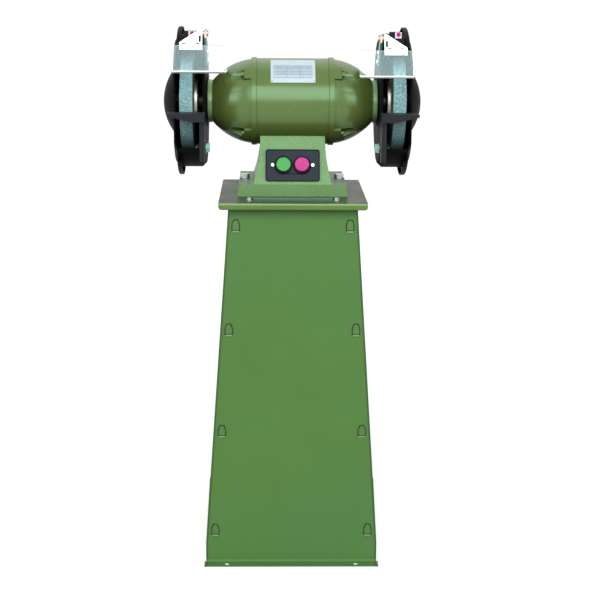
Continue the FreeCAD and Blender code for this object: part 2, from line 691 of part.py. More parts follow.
def side_panel(name, side):
    """Side panel: a shallow channel whose returns lie behind the end panels and hook into them."""
    t = panel_sheet
    lap = panel_sheet + panel_gap
    height = column_height - t - panel_gap
    foot_x = half_width(straight_height) - edge_flare
    top_x = half_width(height) - edge_flare
    foot_y = bottom_depth / 2 - lap
    top_y = face_depth(height) - lap

    def edge(offset):
        return [(foot_x - offset, 0), (foot_x - offset, straight_height), (top_x - offset, height)]

    band = edge(0) + list(reversed(edge(side_return)))
    inner = edge(t) + [(0, height), (0, 0)]
    across = [(foot_y, 0), (top_y, height), (0 - top_y, height), (0 - foot_y, 0)]
    hollow = [(foot_y - t, 0), (top_y - t, height), (0 - top_y + t, height), (0 - foot_y + t, 0)]
    outer = common(prism("XZ", 0 - plate_depth, plate_depth * 2, turned(("outline", band), side)),
                   prism("YZ", 0 - plate_width, plate_width * 2, ("outline", across)))
    space = common(prism("XZ", 0 - plate_depth, plate_depth * 2, turned(("outline", inner), side)),
                   prism("YZ", 0 - plate_width, plate_width * 2, ("outline", hollow)))
    channel = less(outer, space)
    hooks = []
    for sill in hook_sills():
        x = side * hook_centre(sill)
        face = face_depth(sill)
        inside = face - lap - t
        lip_gap = panel_gap + face_slope * hook_lip
        wide = hook_width / 2 - hook_clearance
        tab = hook_outline(x, sill, hook_clearance)
        lip = rectangle(x - wide, sill - hook_lip, x + wide, sill + hook_clearance)
        for facing in (-1, 1):
            start = inside if facing > 0 else 0 - face - hook_proud
            hooks.append(prism("XZ", start, hook_proud + face - inside, tab))
            lip_start = face + lip_gap if facing > 0 else 0 - face - hook_proud
            hooks.append(prism("XZ", lip_start, hook_proud - lip_gap, lip))
    finished(name, joined(channel, *hooks))


def column():
    end_panel("front_panel", -1)
    end_panel("rear_panel", 1)
    side_panel("left_side_panel", -1)
    side_panel("right_side_panel", 1)


# ---------------------------------------------------------------- top plate

def plate_bolt_centres():
    rows = (plate_bolt_inset - top_depth / 2, top_depth / 2 - rear_bolt_inset)
    return [(side * plate_bolt_x, y) for side in (-1, 1) for y in rows]


def top_plate():
    w = plate_width / 2
    d = plate_depth / 2
    t = plate_sheet
    bottom = plate_top - plate_lip
    plate = Piece("top_plate")
    plate.pad("XY", bottom, plate_lip, rounded(0 - w, 0 - d, w, d, plate_corner))
    plate.cut("XY", bottom, plate_lip - t, rounded(t - w, t - d, w - t, d - t, plate_corner - t))
    edge = outline((w + 1, bottom - 1), (w + 1, bottom + lip_round), (w, bottom + lip_round),
                   (w - lip_round, bottom, 0 - lip_round), (w - lip_round, bottom - 1))
    plate.cut("XZ", 0 - d, d * 2, edge, turned(edge, -1))
    bolts = [circle(x, y, plate_bolt_radius + bolt_clearance) for x, y in plate_bolt_centres()]
    base = [circle(s * base_bolt_x, setback, base_bolt_radius + bolt_clearance) for s in (-1, 1)]
    plate.cut("XY", bottom, plate_lip, circle(0, setback, plate_hole), *(bolts + base))


def plate_bolts():
    flats = plate_bolt_radius * 10 / 3
    head = plate_bolt_radius * 4 / 3
    nut_top = column_height - panel_sheet
    nut = plate_bolt_radius * 5 / 3
    centres = plate_bolt_centres()
    bolts = Piece("plate_bolts")
    bolts.pad("XY", plate_top, washer_thick, *[circle(x, y, flats * 0.6) for x, y in centres])
    bolts.pad("XY", plate_top + washer_thick, head, *[hexagon(x, y, flats) for x, y in centres])
    shank = plate_sheet + panel_sheet + nut
    bolts.pad("XY", nut_top - nut, shank, *[circle(x, y, plate_bolt_radius) for x, y in centres])
    bolts.pad("XY", nut_top - nut, nut, *[hexagon(x, y, flats) for x, y in centres])


def plate_strip():
    y = strip_inset - plate_depth / 2
    near = y - strip_depth / 2
    far = y + strip_depth / 2
    high = plate_top + strip_height
    strip = Piece("plate_strip")
    strip.pad("YZ", 0 - strip_length / 2, strip_length,
              outline((near, plate_top), (far, plate_top), (far, high - strip_edge),
                      (far - strip_edge, high), (near + strip_edge, high), (near, high - strip_edge)))


# ---------------------------------------------------------------- base casting and what it holds

def base_casting():
    sides_top = plate_top + waist_height
    roof = shaft_height - motor_radius - cavity_roof
    right = [(foot_half, plate_top), (foot_half - foot_draft, foot_top), (shoulder_half, foot_top),
             (waist_half, sides_top, 0 - flare_radius)]
    left = [(0 - waist_half, sides_top), (0 - shoulder_half, foot_top, 0 - flare_radius),
            (foot_draft - foot_half, foot_top), (0 - foot_half, plate_top)]
    casting = Piece("base_casting")
    casting.pad("XZ", casting_front, casting_depth, outline(*(right + left)))
    lean_top = sides_top + 1
    lean_run = (lean_top - foot_top) * body_lean / body_rise
    wide = foot_half * 2
    casting.cut("YZ", 0 - foot_half, wide,
                outline((casting_front - 1, foot_top), (casting_front, foot_top),
                        (casting_front + lean_run, lean_top), (casting_front - 1, lean_top)),
                outline((casting_back + 1, foot_top), (casting_back, foot_top),
                        (casting_back - lean_run, lean_top), (casting_back + 1, lean_top)))
    casting.cut("YZ", 0 - foot_half, wide, circle(setback, shaft_height, motor_radius + fit_gap))
    casting.cut("XY", plate_top, roof - plate_top,
                rectangle(0 - cavity_half, setback - cavity_depth / 2, cavity_half, setback + cavity_depth / 2))
    casting.cut("XY", plate_top, lower_cavity_height,
                rectangle(0 - lower_cavity_half, setback - lower_cavity_depth / 2,
                          lower_cavity_half, setback + lower_cavity_depth / 2))
    centre = foot_top + switch_rise
    half_high = switch_body_height / 2 + 1
    half_wide = switch_body_width / 2 + 1
    sink = switch_body_depth * body_lean / body_rise
    casting.cut("XZ", casting_front, casting_depth / 2,
                rectangle(0 - half_wide, centre - half_high - sink, half_wide, centre + half_high))
    casting.cut("XZ", setback, casting_depth / 2,
                circle(0, plate_top + gland_height, gland_radius + bolt_clearance))
    casting.cut("XY", plate_top, foot_height,
                *[circle(s * base_bolt_x, setback, base_bolt_radius + bolt_clearance) for s in (-1, 1)])
    casting.cut("XY", roof, cavity_roof + 2,
                *[circle(s * cavity_half / 2, setback, base_bolt_radius + bolt_clearance) for s in (-1, 1)])


def base_bolts():
    flats = base_bolt_radius * 3.4
    head = base_bolt_radius * 1.28
    low = column_height - base_bolt_radius * 3
    centres = [(s * base_bolt_x, setback) for s in (-1, 1)]
    bolts = Piece("base_bolts")
    bolts.pad("XY", foot_top, washer_thick, *[circle(x, y, base_bolt_radius * 2.1) for x, y in centres])
    bolts.pad("XY", foot_top + washer_thick, head, *[hexagon(x, y, flats) for x, y in centres])
    bolts.pad("XY", low, foot_top + washer_thick - low, *[circle(x, y, base_bolt_radius) for x, y in centres])


def base_nuts():
    flats = base_bolt_radius * 3.4
    thick = base_bolt_radius * 1.68
    low = column_height - washer_thick - thick
    centres = [(s * base_bolt_x, setback) for s in (-1, 1)]
    nuts = Piece("base_nuts")
    nuts.pad("XY", low, thick, *[hexagon(x, y, flats) for x, y in centres])
    nuts.pad("XY", low + thick, washer_thick, *[circle(x, y, base_bolt_radius * 2.1) for x, y in centres])
    nuts.cut("XY", low, thick + washer_thick, *[circle(x, y, base_bolt_radius + tie_clearance) for x, y in centres])


def motor_bolts():
    """Two bolts from the wiring space up into the motor housing."""
    roof = shaft_height - motor_radius - cavity_roof
    flats = base_bolt_radius * 3.4
    head = base_bolt_radius * 1.28
    centres = [(s * cavity_half / 2, setback) for s in (-1, 1)]
    bolts = Piece("motor_bolts")
    bolts.pad("XY", roof - head, head, *[hexagon(x, y, flats) for x, y in centres])
    reach = cavity_roof + (motor_radius - motor_bore) - face_gap
    bolts.pad("XY", roof, reach, *[circle(x, y, base_bolt_radius) for x, y in centres])


def base_cover():
    w = lower_cavity_half - cover_gap
    d = lower_cavity_depth / 2 - cover_gap
    cover = Piece("base_cover")
    cover.pad("XY", plate_top, cover_plate, rectangle(0 - w, setback - d, w, setback + d))
    cover.cut("XY", plate_top, cover_plate, circle(0, setback, plate_hole / 2))


def capacitor():
    z = plate_top + cover_plate + capacitor_radius
    y = setback + cavity_depth / 2 - capacitor_radius - cover_gap * 2
    can = Piece("capacitor")
    can.pad("YZ", 0 - capacitor_length / 2, capacitor_length, circle(0, 0, capacitor_radius))
    can.pad("YZ", capacitor_length / 2, capacitor_radius / 3, circle(0, 0, capacitor_radius / 2))
    can.place(0, y, z)


def cable_gland():
    """Gland in the rear of the casting: flange outside, nut inside, bore for the lead."""
    z = plate_top + gland_height
    lean_back = casting_back - (gland_height - foot_height) * body_lean / body_rise
    inside = setback + cavity_depth / 2
    gland = Piece("cable_gland")
    gland.pad("XZ", inside - gland_radius, lean_back + gland_radius * 1.2 - inside + gland_radius,
              circle(0, z, gland_radius))
    flange = gland_radius * 2.7
    gland.pad("XZ", lean_back + flange / 2 * body_lean / body_rise + face_gap, gland_radius * 0.7,
              hexagon(0, z, flange))
    gland.pad("XZ", inside - gland_radius / 2, gland_radius / 2, hexagon(0, z, flange))
    gland.cut("XZ", inside - gland_radius * 2, casting_depth, circle(0, z, gland_radius * 0.5))


# ---------------------------------------------------------------- switch, in the frame of the leaning face

def on_switch_face(piece):
    """Local x across, z up the face, -y out of it; origin at the switch centre on the face."""
    y = casting_front + switch_rise * body_lean / body_rise
    return piece.place(0, y, foot_top + switch_rise, Vector(-1, 0, 0), lean_angle)


def stadium(radius):
    return slot(0 - button_offset, button_offset, 0, radius)


def switch():
    w = switch_width / 2
    d = switch_height / 2
    back = 0 - switch_thick
    plate = Piece("switch_plate")
    plate.pad("XZ", back, switch_thick, rounded(0 - w, 0 - d, w, d, switch_corner))
    plate.pad("XZ", back - collar_height, collar_height, stadium(collar_radius))
    ring_front = back - collar_height - bezel_height
    bezels = [circle(s * button_offset, 0, button_radius + button_gap + bezel_width) for s in (-1, 1)]
    plate.pad("XZ", ring_front, bezel_height, *bezels)
    holes = [circle(s * button_offset, 0, button_radius + button_gap) for s in (-1, 1)]
    plate.cut("XZ", ring_front, 0 - ring_front, *holes)
    screws = [circle(s * switch_screw_x, 0, small_screw + bolt_clearance) for s in (-1, 1)]
    plate.cut("XZ", back, switch_thick, *screws)
    on_switch_face(plate)

    block = Piece("switch_block")
    bw = switch_body_width / 2
    bh = switch_body_height / 2 - 1
    block.pad("XZ", 0, switch_body_depth, rectangle(0 - bw, 0 - bh, bw, bh))
    depth = button_travel + switch_thick
    block.cut("XZ", 0, depth, *holes)
    on_switch_face(block)

    for name, sign in (("start_button", -1), ("stop_button", 1)):
        x = sign * button_offset
        front = 0 - switch_thick - collar_height - button_proud
        button = Piece(name)
        button.turn("V", outline((0, button_travel + face_gap), (button_radius, button_travel + face_gap),
                                 (button_radius, front + 1.5), (button_radius - 1.5, front, -1.5), (0, front)))
        y = casting_front + switch_rise * body_lean / body_rise
        place_button(button, x, y)

    heads = Piece("switch_screws")
    centres = [(s * switch_screw_x, 0) for s in (-1, 1)]
    heads.pad("XZ", back - 2, 2, *[circle(x, z, switch_screw_radius) for x, z in centres])
    heads.cut("XZ", back - 2, 1, *[rectangle(x - switch_screw_radius, -0.5, x + switch_screw_radius, 0.5)
                                   for x, z in centres])
    heads.pad("XZ", back, switch_thick, *[circle(x, z, small_screw) for x, z in centres])
    on_switch_face(heads)


def place_button(button, x, y):
    """A button is turned about its own Z axis, which points into the leaning face."""
    button.place(x, y, foot_top + switch_rise, Vector(-1, 0, 0), lean_angle + 90)


# ---------------------------------------------------------------- motor

def motor_housing():
    housing = Piece("motor_housing")
    housing.pad("YZ", 0 - motor_half, motor_half * 2, circle(0, 0, motor_radius), circle(0, 0, motor_bore))
    threads = [circle(y, z, tie_radius + tie_clearance) for y, z in spokes(tie_circle, (45, 135, 225, 315))]
    for side in (-1, 1):
        housing.cut_across(side, motor_half - tie_grip, motor_half, *threads)
    housing.cut("XY", 0 - motor_radius, motor_radius - motor_bore + 1,
                *[circle(s * cavity_half / 2, 0, base_bolt_radius + tie_clearance) for s in (-1, 1)])
    housing.on_shaft()


def name_plate():
    """Blank plate wrapped on the front top of the housing, turned from its upper edge forward."""
    inner = motor_radius + fit_gap
    half = name_width / 2
    plate = Piece("name_plate")
    plate.turn("H", rectangle(0 - half, inner, half, inner + name_thick), angle=name_high_angle - name_low_angle)
    plate.place(0, setback, shaft_height, Vector(1, 0, 0), 90 - name_high_angle)


def lug(a, b):
    """Tie bolt lug on the diagonal of signs a and b, flush with the bell's rim."""
    quarter = math.sqrt(0.5)
    top = root(ring_radius * ring_radius - lug_half * lug_half)
    corners = [(ring_radius - lug_depth, -1), (top, -1), (top, 1), (ring_radius - lug_depth, 1)]
    places = [((r * a - lug_half * b * w) * quarter, (r * b + lug_half * a * w) * quarter) for r, w in corners]
    places[2] = (*places[2], ring_radius)
    return outline(*places)


def end_bell(name, side):
    inner = dome_radius - bell_wall
    wall = neck_start - bell_wall
    spigot = motor_bore - fit_gap * 5
    profile = outline((motor_half - spigot_length, spigot), (motor_half, spigot), (motor_half, ring_radius),
                      (ring_end, ring_radius), (ring_end, bell_radius(ring_end, dome_radius)),
                      (neck_start, bell_radius(neck_start, dome_radius), 0 - dome_radius),
                      (neck_start + neck_groove, bell_radius(neck_start, dome_radius)),
                      (neck_start + neck_groove, neck_radius), (neck_end, neck_radius), (neck_end, neck_bore),
                      (bearing_end, neck_bore), (bearing_end, bearing_outer + fit_gap),
                      (bearing_start, bearing_outer + fit_gap), (bearing_start, boss_radius),
                      (wall, boss_radius), (wall, bell_radius(wall, inner)),
                      (ring_end, bell_radius(ring_end, inner), inner),
                      (motor_half - spigot_length, spigot - spigot_wall))
    bell = Piece(name)
    bell.turn("H", turned(profile, side))
    bell.pad_across(side, ring_end, ring_end + lug_length, *[lug(a, b) for a in (-1, 1) for b in (-1, 1)])
    bolts = spokes(tie_circle, (45, 135, 225, 315))
    pockets = spokes(pocket_circle, (45, 135, 225, 315))
    bell.cut_across(side, ring_end + lug_length, neck_start, *[circle(y, z, pocket_radius) for y, z in pockets])
    bell.cut_across(side, motor_half, ring_end + lug_length,
                    *[circle(y, z, tie_radius + bolt_clearance) for y, z in bolts])
    screws = spokes(hub_screw_circle, (90, 210, 330))
    bell.cut_across(side, neck_end - thread_depth, neck_end,
                    *[circle(y, z, small_screw + tie_clearance) for y, z in screws])
    bell.on_shaft()


def tie_bolts():
    """Eight socket screws, one at the bottom of each scooped pocket."""
    bolts = Piece("tie_bolts")
    centres = spokes(tie_circle, (45, 135, 225, 315))
    seat = ring_end + lug_length
    head = tie_radius * 5 / 3
    for side in (-1, 1):
        bolts.pad_across(side, seat, seat + tie_radius * 2, *[circle(y, z, head) for y, z in centres])
        bolts.pad_across(side, motor_half - tie_grip + face_gap, seat, *[circle(y, z, tie_radius) for y, z in centres])
    for side in (-1, 1):
        bolts.cut_across(side, seat + tie_radius, seat + tie_radius * 2,
                         *[hexagon(y, z, tie_radius * 5 / 3) for y, z in centres])
    bolts.on_shaft()


def stator():
    core = Piece("stator_core")
    core.pad("YZ", 0 - stator_half, stator_half * 2,
             circle(0, 0, motor_bore - fit_gap), circle(0, 0, stator_bore))
    core.on_shaft()
    windings = Piece("stator_windings")
    start = stator_half
    end = stator_half + winding_reach
    corner = winding_reach / 4
    ring = outline((start, winding_inner), (end - corner, winding_inner), (end, winding_inner + corner, corner),
                   (end, winding_outer - corner), (end - corner, winding_outer, corner), (start, winding_outer))
    windings.turn("H", ring, turned(ring, -1))
    windings.on_shaft()


def rotor():
    radius = stator_bore - air_gap
    ring = rotor_ring + stator_half
    body = Piece("rotor")
    body.turn("H", outline((0 - stator_half, shaft_core + fit_gap), (stator_half, shaft_core + fit_gap),
                           (stator_half, radius - 14), (ring, radius - 14), (ring, radius - 2),
                           (stator_half, radius - 2), (stator_half, radius), (0 - stator_half, radius),
                           (0 - stator_half, radius - 2), (0 - ring, radius - 2), (0 - ring, radius - 14),
                           (0 - stator_half, radius - 14)))
    body.on_shaft()


def shaft():
    spindle = Piece("shaft")
    shoulder = bearing_start - face_gap
    tip = shaft_tip - 1.5
    spindle.turn("H", outline((0 - shaft_tip, 0), (shaft_tip, 0), (shaft_tip, shaft_end - 1.5), (tip, shaft_end),
                              (shoulder, shaft_end), (shoulder, shaft_core), (0 - shoulder, shaft_core),
                              (0 - shoulder, shaft_end), (0 - tip, shaft_end), (0 - shaft_tip, shaft_end - 1.5)))
    spindle.on_shaft()


def bearing(name, side):
    """Deep-groove ball bearing: outer race, inner race and a ring of balls."""
    outer_race = bearing_outer - race_thick
    inner_race = shaft_end + fit_gap + race_thick
    ball = (outer_race - inner_race) / 2 - fit_gap
    pitch = (outer_race + inner_race) / 2
    middle = (bearing_start + bearing_end) / 2
    x0 = side * bearing_start
    x1 = side * bearing_end
    piece = Piece(name)
    piece.turn("H", rectangle(x0, outer_race, x1, bearing_outer))
    piece.turn("H", rectangle(x0, shaft_end + fit_gap, x1, inner_race))
    races = piece.body
    balls = []
    for y, z in spokes(pitch, [360 / ball_count * k for k in range(ball_count)]):
        sphere = doc.addObject("Part::Sphere", "ball")
        sphere.setExpression("Radius", text(ball))
        place_object(sphere, side * middle, y, z)
        balls.append(sphere)
    races.Label = name + "_races"
    group = doc.addObject("Part::Compound", name + "_group")
    group.Links = [races] + balls
    place_object(group, 0, setback, shaft_height)
    finished(name, group)


# ---------------------------------------------------------------- wheels and what clamps them

def wheel_set(word, side):
    bore = shaft_end + fit_gap
    wheel = Piece(word + "_wheel")
    bevel = 0.8
    wheel.turn("H", turned(outline((wheel_in, bore), (wheel_out, bore), (wheel_out, wheel_radius - bevel),
                                   (wheel_out - bevel, wheel_radius), (wheel_in + bevel, wheel_radius),
                                   (wheel_in, wheel_radius - bevel)), side))
    wheel.on_shaft()

    face = wheel_in - blotter_thick
    inner = Piece(word + "_inner_flange")
    inner.turn("H", turned(outline((bearing_end + face_gap, bore), (face - flange_relief, bore),
                                   (face - flange_relief, flange_radius * 0.7), (face, flange_radius * 0.7),
                                   (face, flange_radius), (face - flange_thick, flange_radius),
                                   (face - flange_thick, flange_hub), (bearing_end + face_gap, flange_hub)), side))
    inner.on_shaft()

    seat = wheel_out + blotter_thick
    outer = Piece(word + "_outer_flange")
    outer.turn("H", turned(outline((seat + flange_relief, bore), (seat + outer_flange_thick, bore),
                                   (seat + outer_flange_thick, flange_radius * 0.6),
                                   (seat + outer_flange_thick / 2, flange_radius), (seat, flange_radius),
                                   (seat, flange_radius * 0.7), (seat + flange_relief, flange_radius * 0.7)), side))
    outer.on_shaft()

    blotters = Piece(word + "_blotters")
    ring = (circle(0, 0, blotter_radius), circle(0, 0, bore))
    blotters.pad_across(side, wheel_in - blotter_thick, wheel_in, *ring)
    blotters.pad_across(side, wheel_out, wheel_out + blotter_thick, *ring)
    blotters.on_shaft()

    nut = Piece(word + "_spindle_nut")
    nut.pad_across(side, nut_start, nut_start + nut_thick, hexagon(0, 0, nut_flats))
    nut.cut_across(side, nut_start, nut_start + nut_thick, circle(0, 0, bore))
    nut.on_shaft()


# ---------------------------------------------------------------- guards

def inner_guard(word, side):
    """Cast guard: inner plate on the neck and a band round the wheel, open at the front."""
    inside = guard_radius - guard_wall
    inner_bevel = guard_bevel * 0.6
    profile = outline((neck_end, guard_hub), (plate_out, guard_hub), (plate_out, inside - inner_bevel),
                      (plate_out + inner_bevel, inside), (band_end, inside), (band_end, guard_radius),
                      (plate_in + guard_bevel, guard_radius), (plate_in, guard_radius - guard_bevel),
                      (plate_in, guard_pad + guard_dish), (neck_end, guard_pad))
    guard = Piece(word + "_inner_guard")
    guard.turn("H", turned(profile, side))
    ears = spokes(ear_circle, ear_angles)
    guard.pad_across(side, band_end - ear_length, band_end, *[circle(y, z, ear_radius) for y, z in ears])
    guard.cut_across(side, band_end - ear_length, band_end, circle(0, 0, inside))
    far = guard_radius * 1.2
    guard.cut_across(side, neck_end, band_end, rectangle(0 - far, 0 - far, 0 - chord, far))
    guard.cut_across(side, plate_out, band_end, rectangle(0 - far, upper_cut_low, 0 - upper_cut, far))
    thread = small_screw + tie_clearance
    guard.cut_across(side, band_end - ear_length + 2, band_end, *[circle(y, z, thread) for y, z in ears])
    screws = spokes(hub_screw_circle, (90, 210, 330)) + bar_screws()
    guard.cut_across(side, neck_end, plate_out, *[circle(y, z, thread) for y, z in screws])
    guard.cut_across(side, neck_end, plate_out,
                     circle(0 - rest_bolt_back, 0 - rest_bolt_drop, rest_bolt_radius + tie_clearance))
    guard.cut("XY", inside - 1, guard_wall + 2,
              *[circle(x, y, thread) for x, y in arrester_screw_places(side)])
    guard.on_shaft()


def outer_cover(word, side):
    """Pressed cover: edge turned back, flat rim on the band, stepped face, bulge over the spindle nut."""
    rim = band_end
    face = rim + cover_step
    t = cover_sheet

    def cap(base, radius, height):
        return (radius * radius + height * height) / (2 * height)

    inner_bulge = bulge_radius - t
    inner_height = bulge_height - t * 0.6
    outer = cap(face, bulge_radius, bulge_height)
    inner = cap(face, inner_bulge, inner_height)
    profile = outline((rim, cover_rim), (face, cover_face), (face, inner_bulge),
                      (face + inner_height, 0, 0 - inner), (face + t + bulge_height, 0),
                      (face + t, bulge_radius, outer), (face + t, cover_face),
                      (rim + t, cover_rim), (rim + t, cover_radius - t), (rim, cover_radius, t),
                      (rim - cover_roll, cover_radius), (rim - cover_roll, cover_radius - t), (rim, cover_radius - t))
    cover = Piece(word + "_outer_cover")
    cover.turn("H", turned(profile, side))
    far = cover_radius * 1.1
    cover.cut_across(side, rim - cover_roll - 1, face + t + bulge_height,
                     rectangle(0 - far, 0 - far, 0 - chord, far))
    cover.cut_across(side, rim - 1, rim + t + 1,
                     *[circle(y, z, small_screw + bolt_clearance) for y, z in spokes(ear_circle, ear_angles)])
    cover.on_shaft()


def guard_screws():
    """Screws of both guards: inner plate to neck, cover to ears, and shield bar to inner plate."""
    hub = spokes(hub_screw_circle, (90, 210, 330))
    ears = spokes(ear_circle, ear_angles)
    bars = bar_screws()
    rim = band_end + cover_sheet
    under = plate_in - bar_thick
    screws = Piece("guard_screws")
    for side in (-1, 1):
        screws.pad_across(side, neck_end - thread_depth + 1, plate_out, *[circle(y, z, small_screw) for y, z in hub])
        screws.pad_across(side, plate_out, plate_out + small_head_height, *[circle(y, z, small_head) for y, z in hub])
        screws.pad_across(side, band_end - ear_length + 3, rim, *[circle(y, z, small_screw) for y, z in ears])
        screws.pad_across(side, rim, rim + small_head_height, *[circle(y, z, small_head) for y, z in ears])
        screws.pad_across(side, under, plate_out - face_gap, *[circle(y, z, small_screw) for y, z in bars])
        screws.pad_across(side, under - small_head_height, under, *[circle(y, z, small_head) for y, z in bars])
    screws.on_shaft()


# ---------------------------------------------------------------- tool rests

def tool_rest(word, side):
    """Table in front of the wheel on an arm that is slotted onto the guard's inner plate."""
    top = 0 - rest_drop
    near = 0 - wheel_radius - rest_gap + 1.8
    front = near - rest_depth
    under = top - rest_thick
    rest = Piece(word + "_tool_rest")
    start, length = rest.span(side, plate_in, rest_outer)
    table = [(front, top), (near, top), (near, under), (front, under)]
    rest.pad("YZ", start, length, ("outline", table))
    rib = [(plate_in, top), (rest_outer, top), (rest_outer, under), (wheel_in, under - rest_skirt),
           (plate_in, under - rest_skirt)]
    rest.pad("XZ", front, rest_rib, turned(("outline", rib), side))
    arm_front = 0 - rest_front - arm_depth
    rest.pad_across(side, plate_in, arm_out,
                    outline((arm_front - 4, under), (arm_front, 0 - arm_drop), (0 - rest_front, 0 - arm_drop),
                            (0 - rest_front, under)))
    bolt_y = 0 - rest_bolt_back
    bolt_z = 0 - rest_bolt_drop
    reach = bolt_y + rest_travel + rest_bolt_radius * 2
    low = bolt_z - rest_bolt_radius * 2.5
    rest.pad_across(side, arm_in, arm_out,
                    outline((0 - rest_front, under), (0 - rest_front, bolt_z + rest_bolt_radius * 5),
                            (bolt_y + rest_travel, low), (reach, low), (reach, bolt_z + rest_bolt_radius * 3),
                            (0 - rest_front + 8, bolt_z + rest_bolt_radius * 7.5)))
    rest.cut_across(side, arm_in, arm_out,
                    slot(bolt_y, bolt_y + rest_travel, bolt_z, rest_bolt_radius + bolt_clearance))
    rest.on_shaft()


def rest_bolts():
    """Hex bolt, washer and nut of each tool rest."""
    y = 0 - rest_bolt_back
    z = 0 - rest_bolt_drop
    head_start = plate_in - washer_thick - rest_bolt_head
    bolts = Piece("rest_bolts")
    nuts = Piece("rest_nuts")
    nut_from = arm_out + face_gap
    nut_to = nut_from + rest_bolt_radius * 1.6
    for side in (-1, 1):
        bolts.pad_across(side, head_start, head_start + rest_bolt_head, hexagon(y, z, rest_bolt_flats))
        bolts.pad_across(side, head_start + rest_bolt_head, nut_to + 1, circle(y, z, rest_bolt_radius))
        bolts.pad_across(side, plate_in - washer_thick, plate_in, circle(y, z, rest_bolt_radius * 2.1))
        nuts.pad_across(side, nut_from, nut_to, hexagon(y, z, rest_bolt_flats))
        nuts.cut_across(side, nut_from, nut_to, circle(y, z, rest_bolt_radius + tie_clearance))
    bolts.on_shaft()
    nuts.on_shaft()


# ---------------------------------------------------------------- spark arresters and eye shields

def spark_arrester(word, side):
    """Bent plate on the band's top whose front flange closes the gap over the wheel."""
    t = arrester_sheet
    low = guard_radius + face_gap
    near = plate_out + arrester_margin
    far = band_end - cover_roll - arrester_outer
    plate = Piece(word + "_spark_arrester")
    plate.pad_across(side, near, far,
                     outline((arrester_back, low), (arrester_back, low + t), (0 - arrester_front, low + t),
                             (0 - arrester_front, arrester_low), (t - arrester_front, arrester_low),
                             (t - arrester_front, low)))
    plate.pad_across(side, near + tab_inset, far - tab_outer,
                     rectangle(0 - arrester_front, low, t - arrester_front, arrester_high))
    plate.cut("XY", low - 1, t + 2,
              *[circle(x, y, small_screw + bolt_clearance) for x, y in arrester_screw_places(side)])
    plate.on_shaft()


def arrester_screw_places(side):
    middle = (plate_out + band_end) / 2
    return [(side * middle + s * arrester_screw_gap / 2, arrester_screw_y) for s in (-1, 1)]


def arrester_screws():
    low = guard_radius + face_gap + arrester_sheet
    centres = arrester_screw_places(-1) + arrester_screw_places(1)
    screws = Piece("arrester_screws")
    screws.pad("XY", low, small_head_height, *[circle(x, y, small_head) for x, y in centres])
    reach = guard_wall + arrester_sheet + face_gap
    screws.pad("XY", low - reach, reach, *[circle(x, y, small_screw) for x, y in centres])
    screws.on_shaft()


def bar_screws():
    """Two screws of a shield bar, in the guard plate's frame."""
    return [(0 - bar_screw_y, bar_screw_z),
            (0 - bar_screw_y - bar_screw_run, bar_screw_z + bar_screw_rise)]


def lift(side):
    return shield_lift * (0 - side)


def pivot_place(side):
    """Shield pivot from the shaft axis, forward negative and up positive."""
    lean = math.radians(number(shield_angle))
    up = round(math.cos(lean), 9)
    back = round(math.sin(lean), 9)
    y = 0 - shield_ahead + pivot_up * back + pivot_behind * up
    z = shield_rise + lift(side) + pivot_up * up - pivot_behind * back
    return y, z


def shield_bars():
    """Flat bars screwed to the guards' inner plates, carrying the shield pivots."""
    bars = Piece("shield_bars")
    for side in (-1, 1):
        y, z = pivot_place(side)
        (y0, z0), (y1, z1) = bar_screws()
        r = bar_half
        bars.pad_across(side, plate_in - bar_thick, plate_in,
                        outline((y0 + r, z0 - r), (y0 + r, z0 + r), (y + r, z - r / 2), (y + r, z + r / 2),
                                (y + r / 2, z + r), (y - r / 2, z + r), (y - r, z + r / 2), (y - r, z - r),
                                (y0 - r, z0 - r)))
    for side in (-1, 1):
        y, z = pivot_place(side)
        bars.cut_across(side, plate_in - bar_thick, plate_in, circle(y, z, pivot_radius + tie_clearance),
                        *[circle(a, b, small_screw + bolt_clearance) for a, b in bar_screws()])
    bars.on_shaft()


def shield_pivots():
    """Shouldered pins through the bars, with a head on the motor side and a nut beyond the ear."""
    pins = Piece("shield_pivots")
    ear_in = plate_in + bracket_offset
    ear_out = ear_in + bracket_sheet
    for side in (-1, 1):
        y, z = pivot_place(side)
        head = plate_in - bar_thick
        pins.pad_across(side, head - small_head_height, head, circle(y, z, pivot_radius * 2))
        pins.pad_across(side, head, ear_out + face_gap + pivot_radius, circle(y, z, pivot_radius))
        pins.pad_across(side, plate_in, ear_in - face_gap, circle(y, z, pivot_radius * 1.8))
        pins.pad_across(side, ear_out + face_gap, ear_out + face_gap + pivot_radius,
                        hexagon(y, z, pivot_radius * 3.4))
    pins.on_shaft()


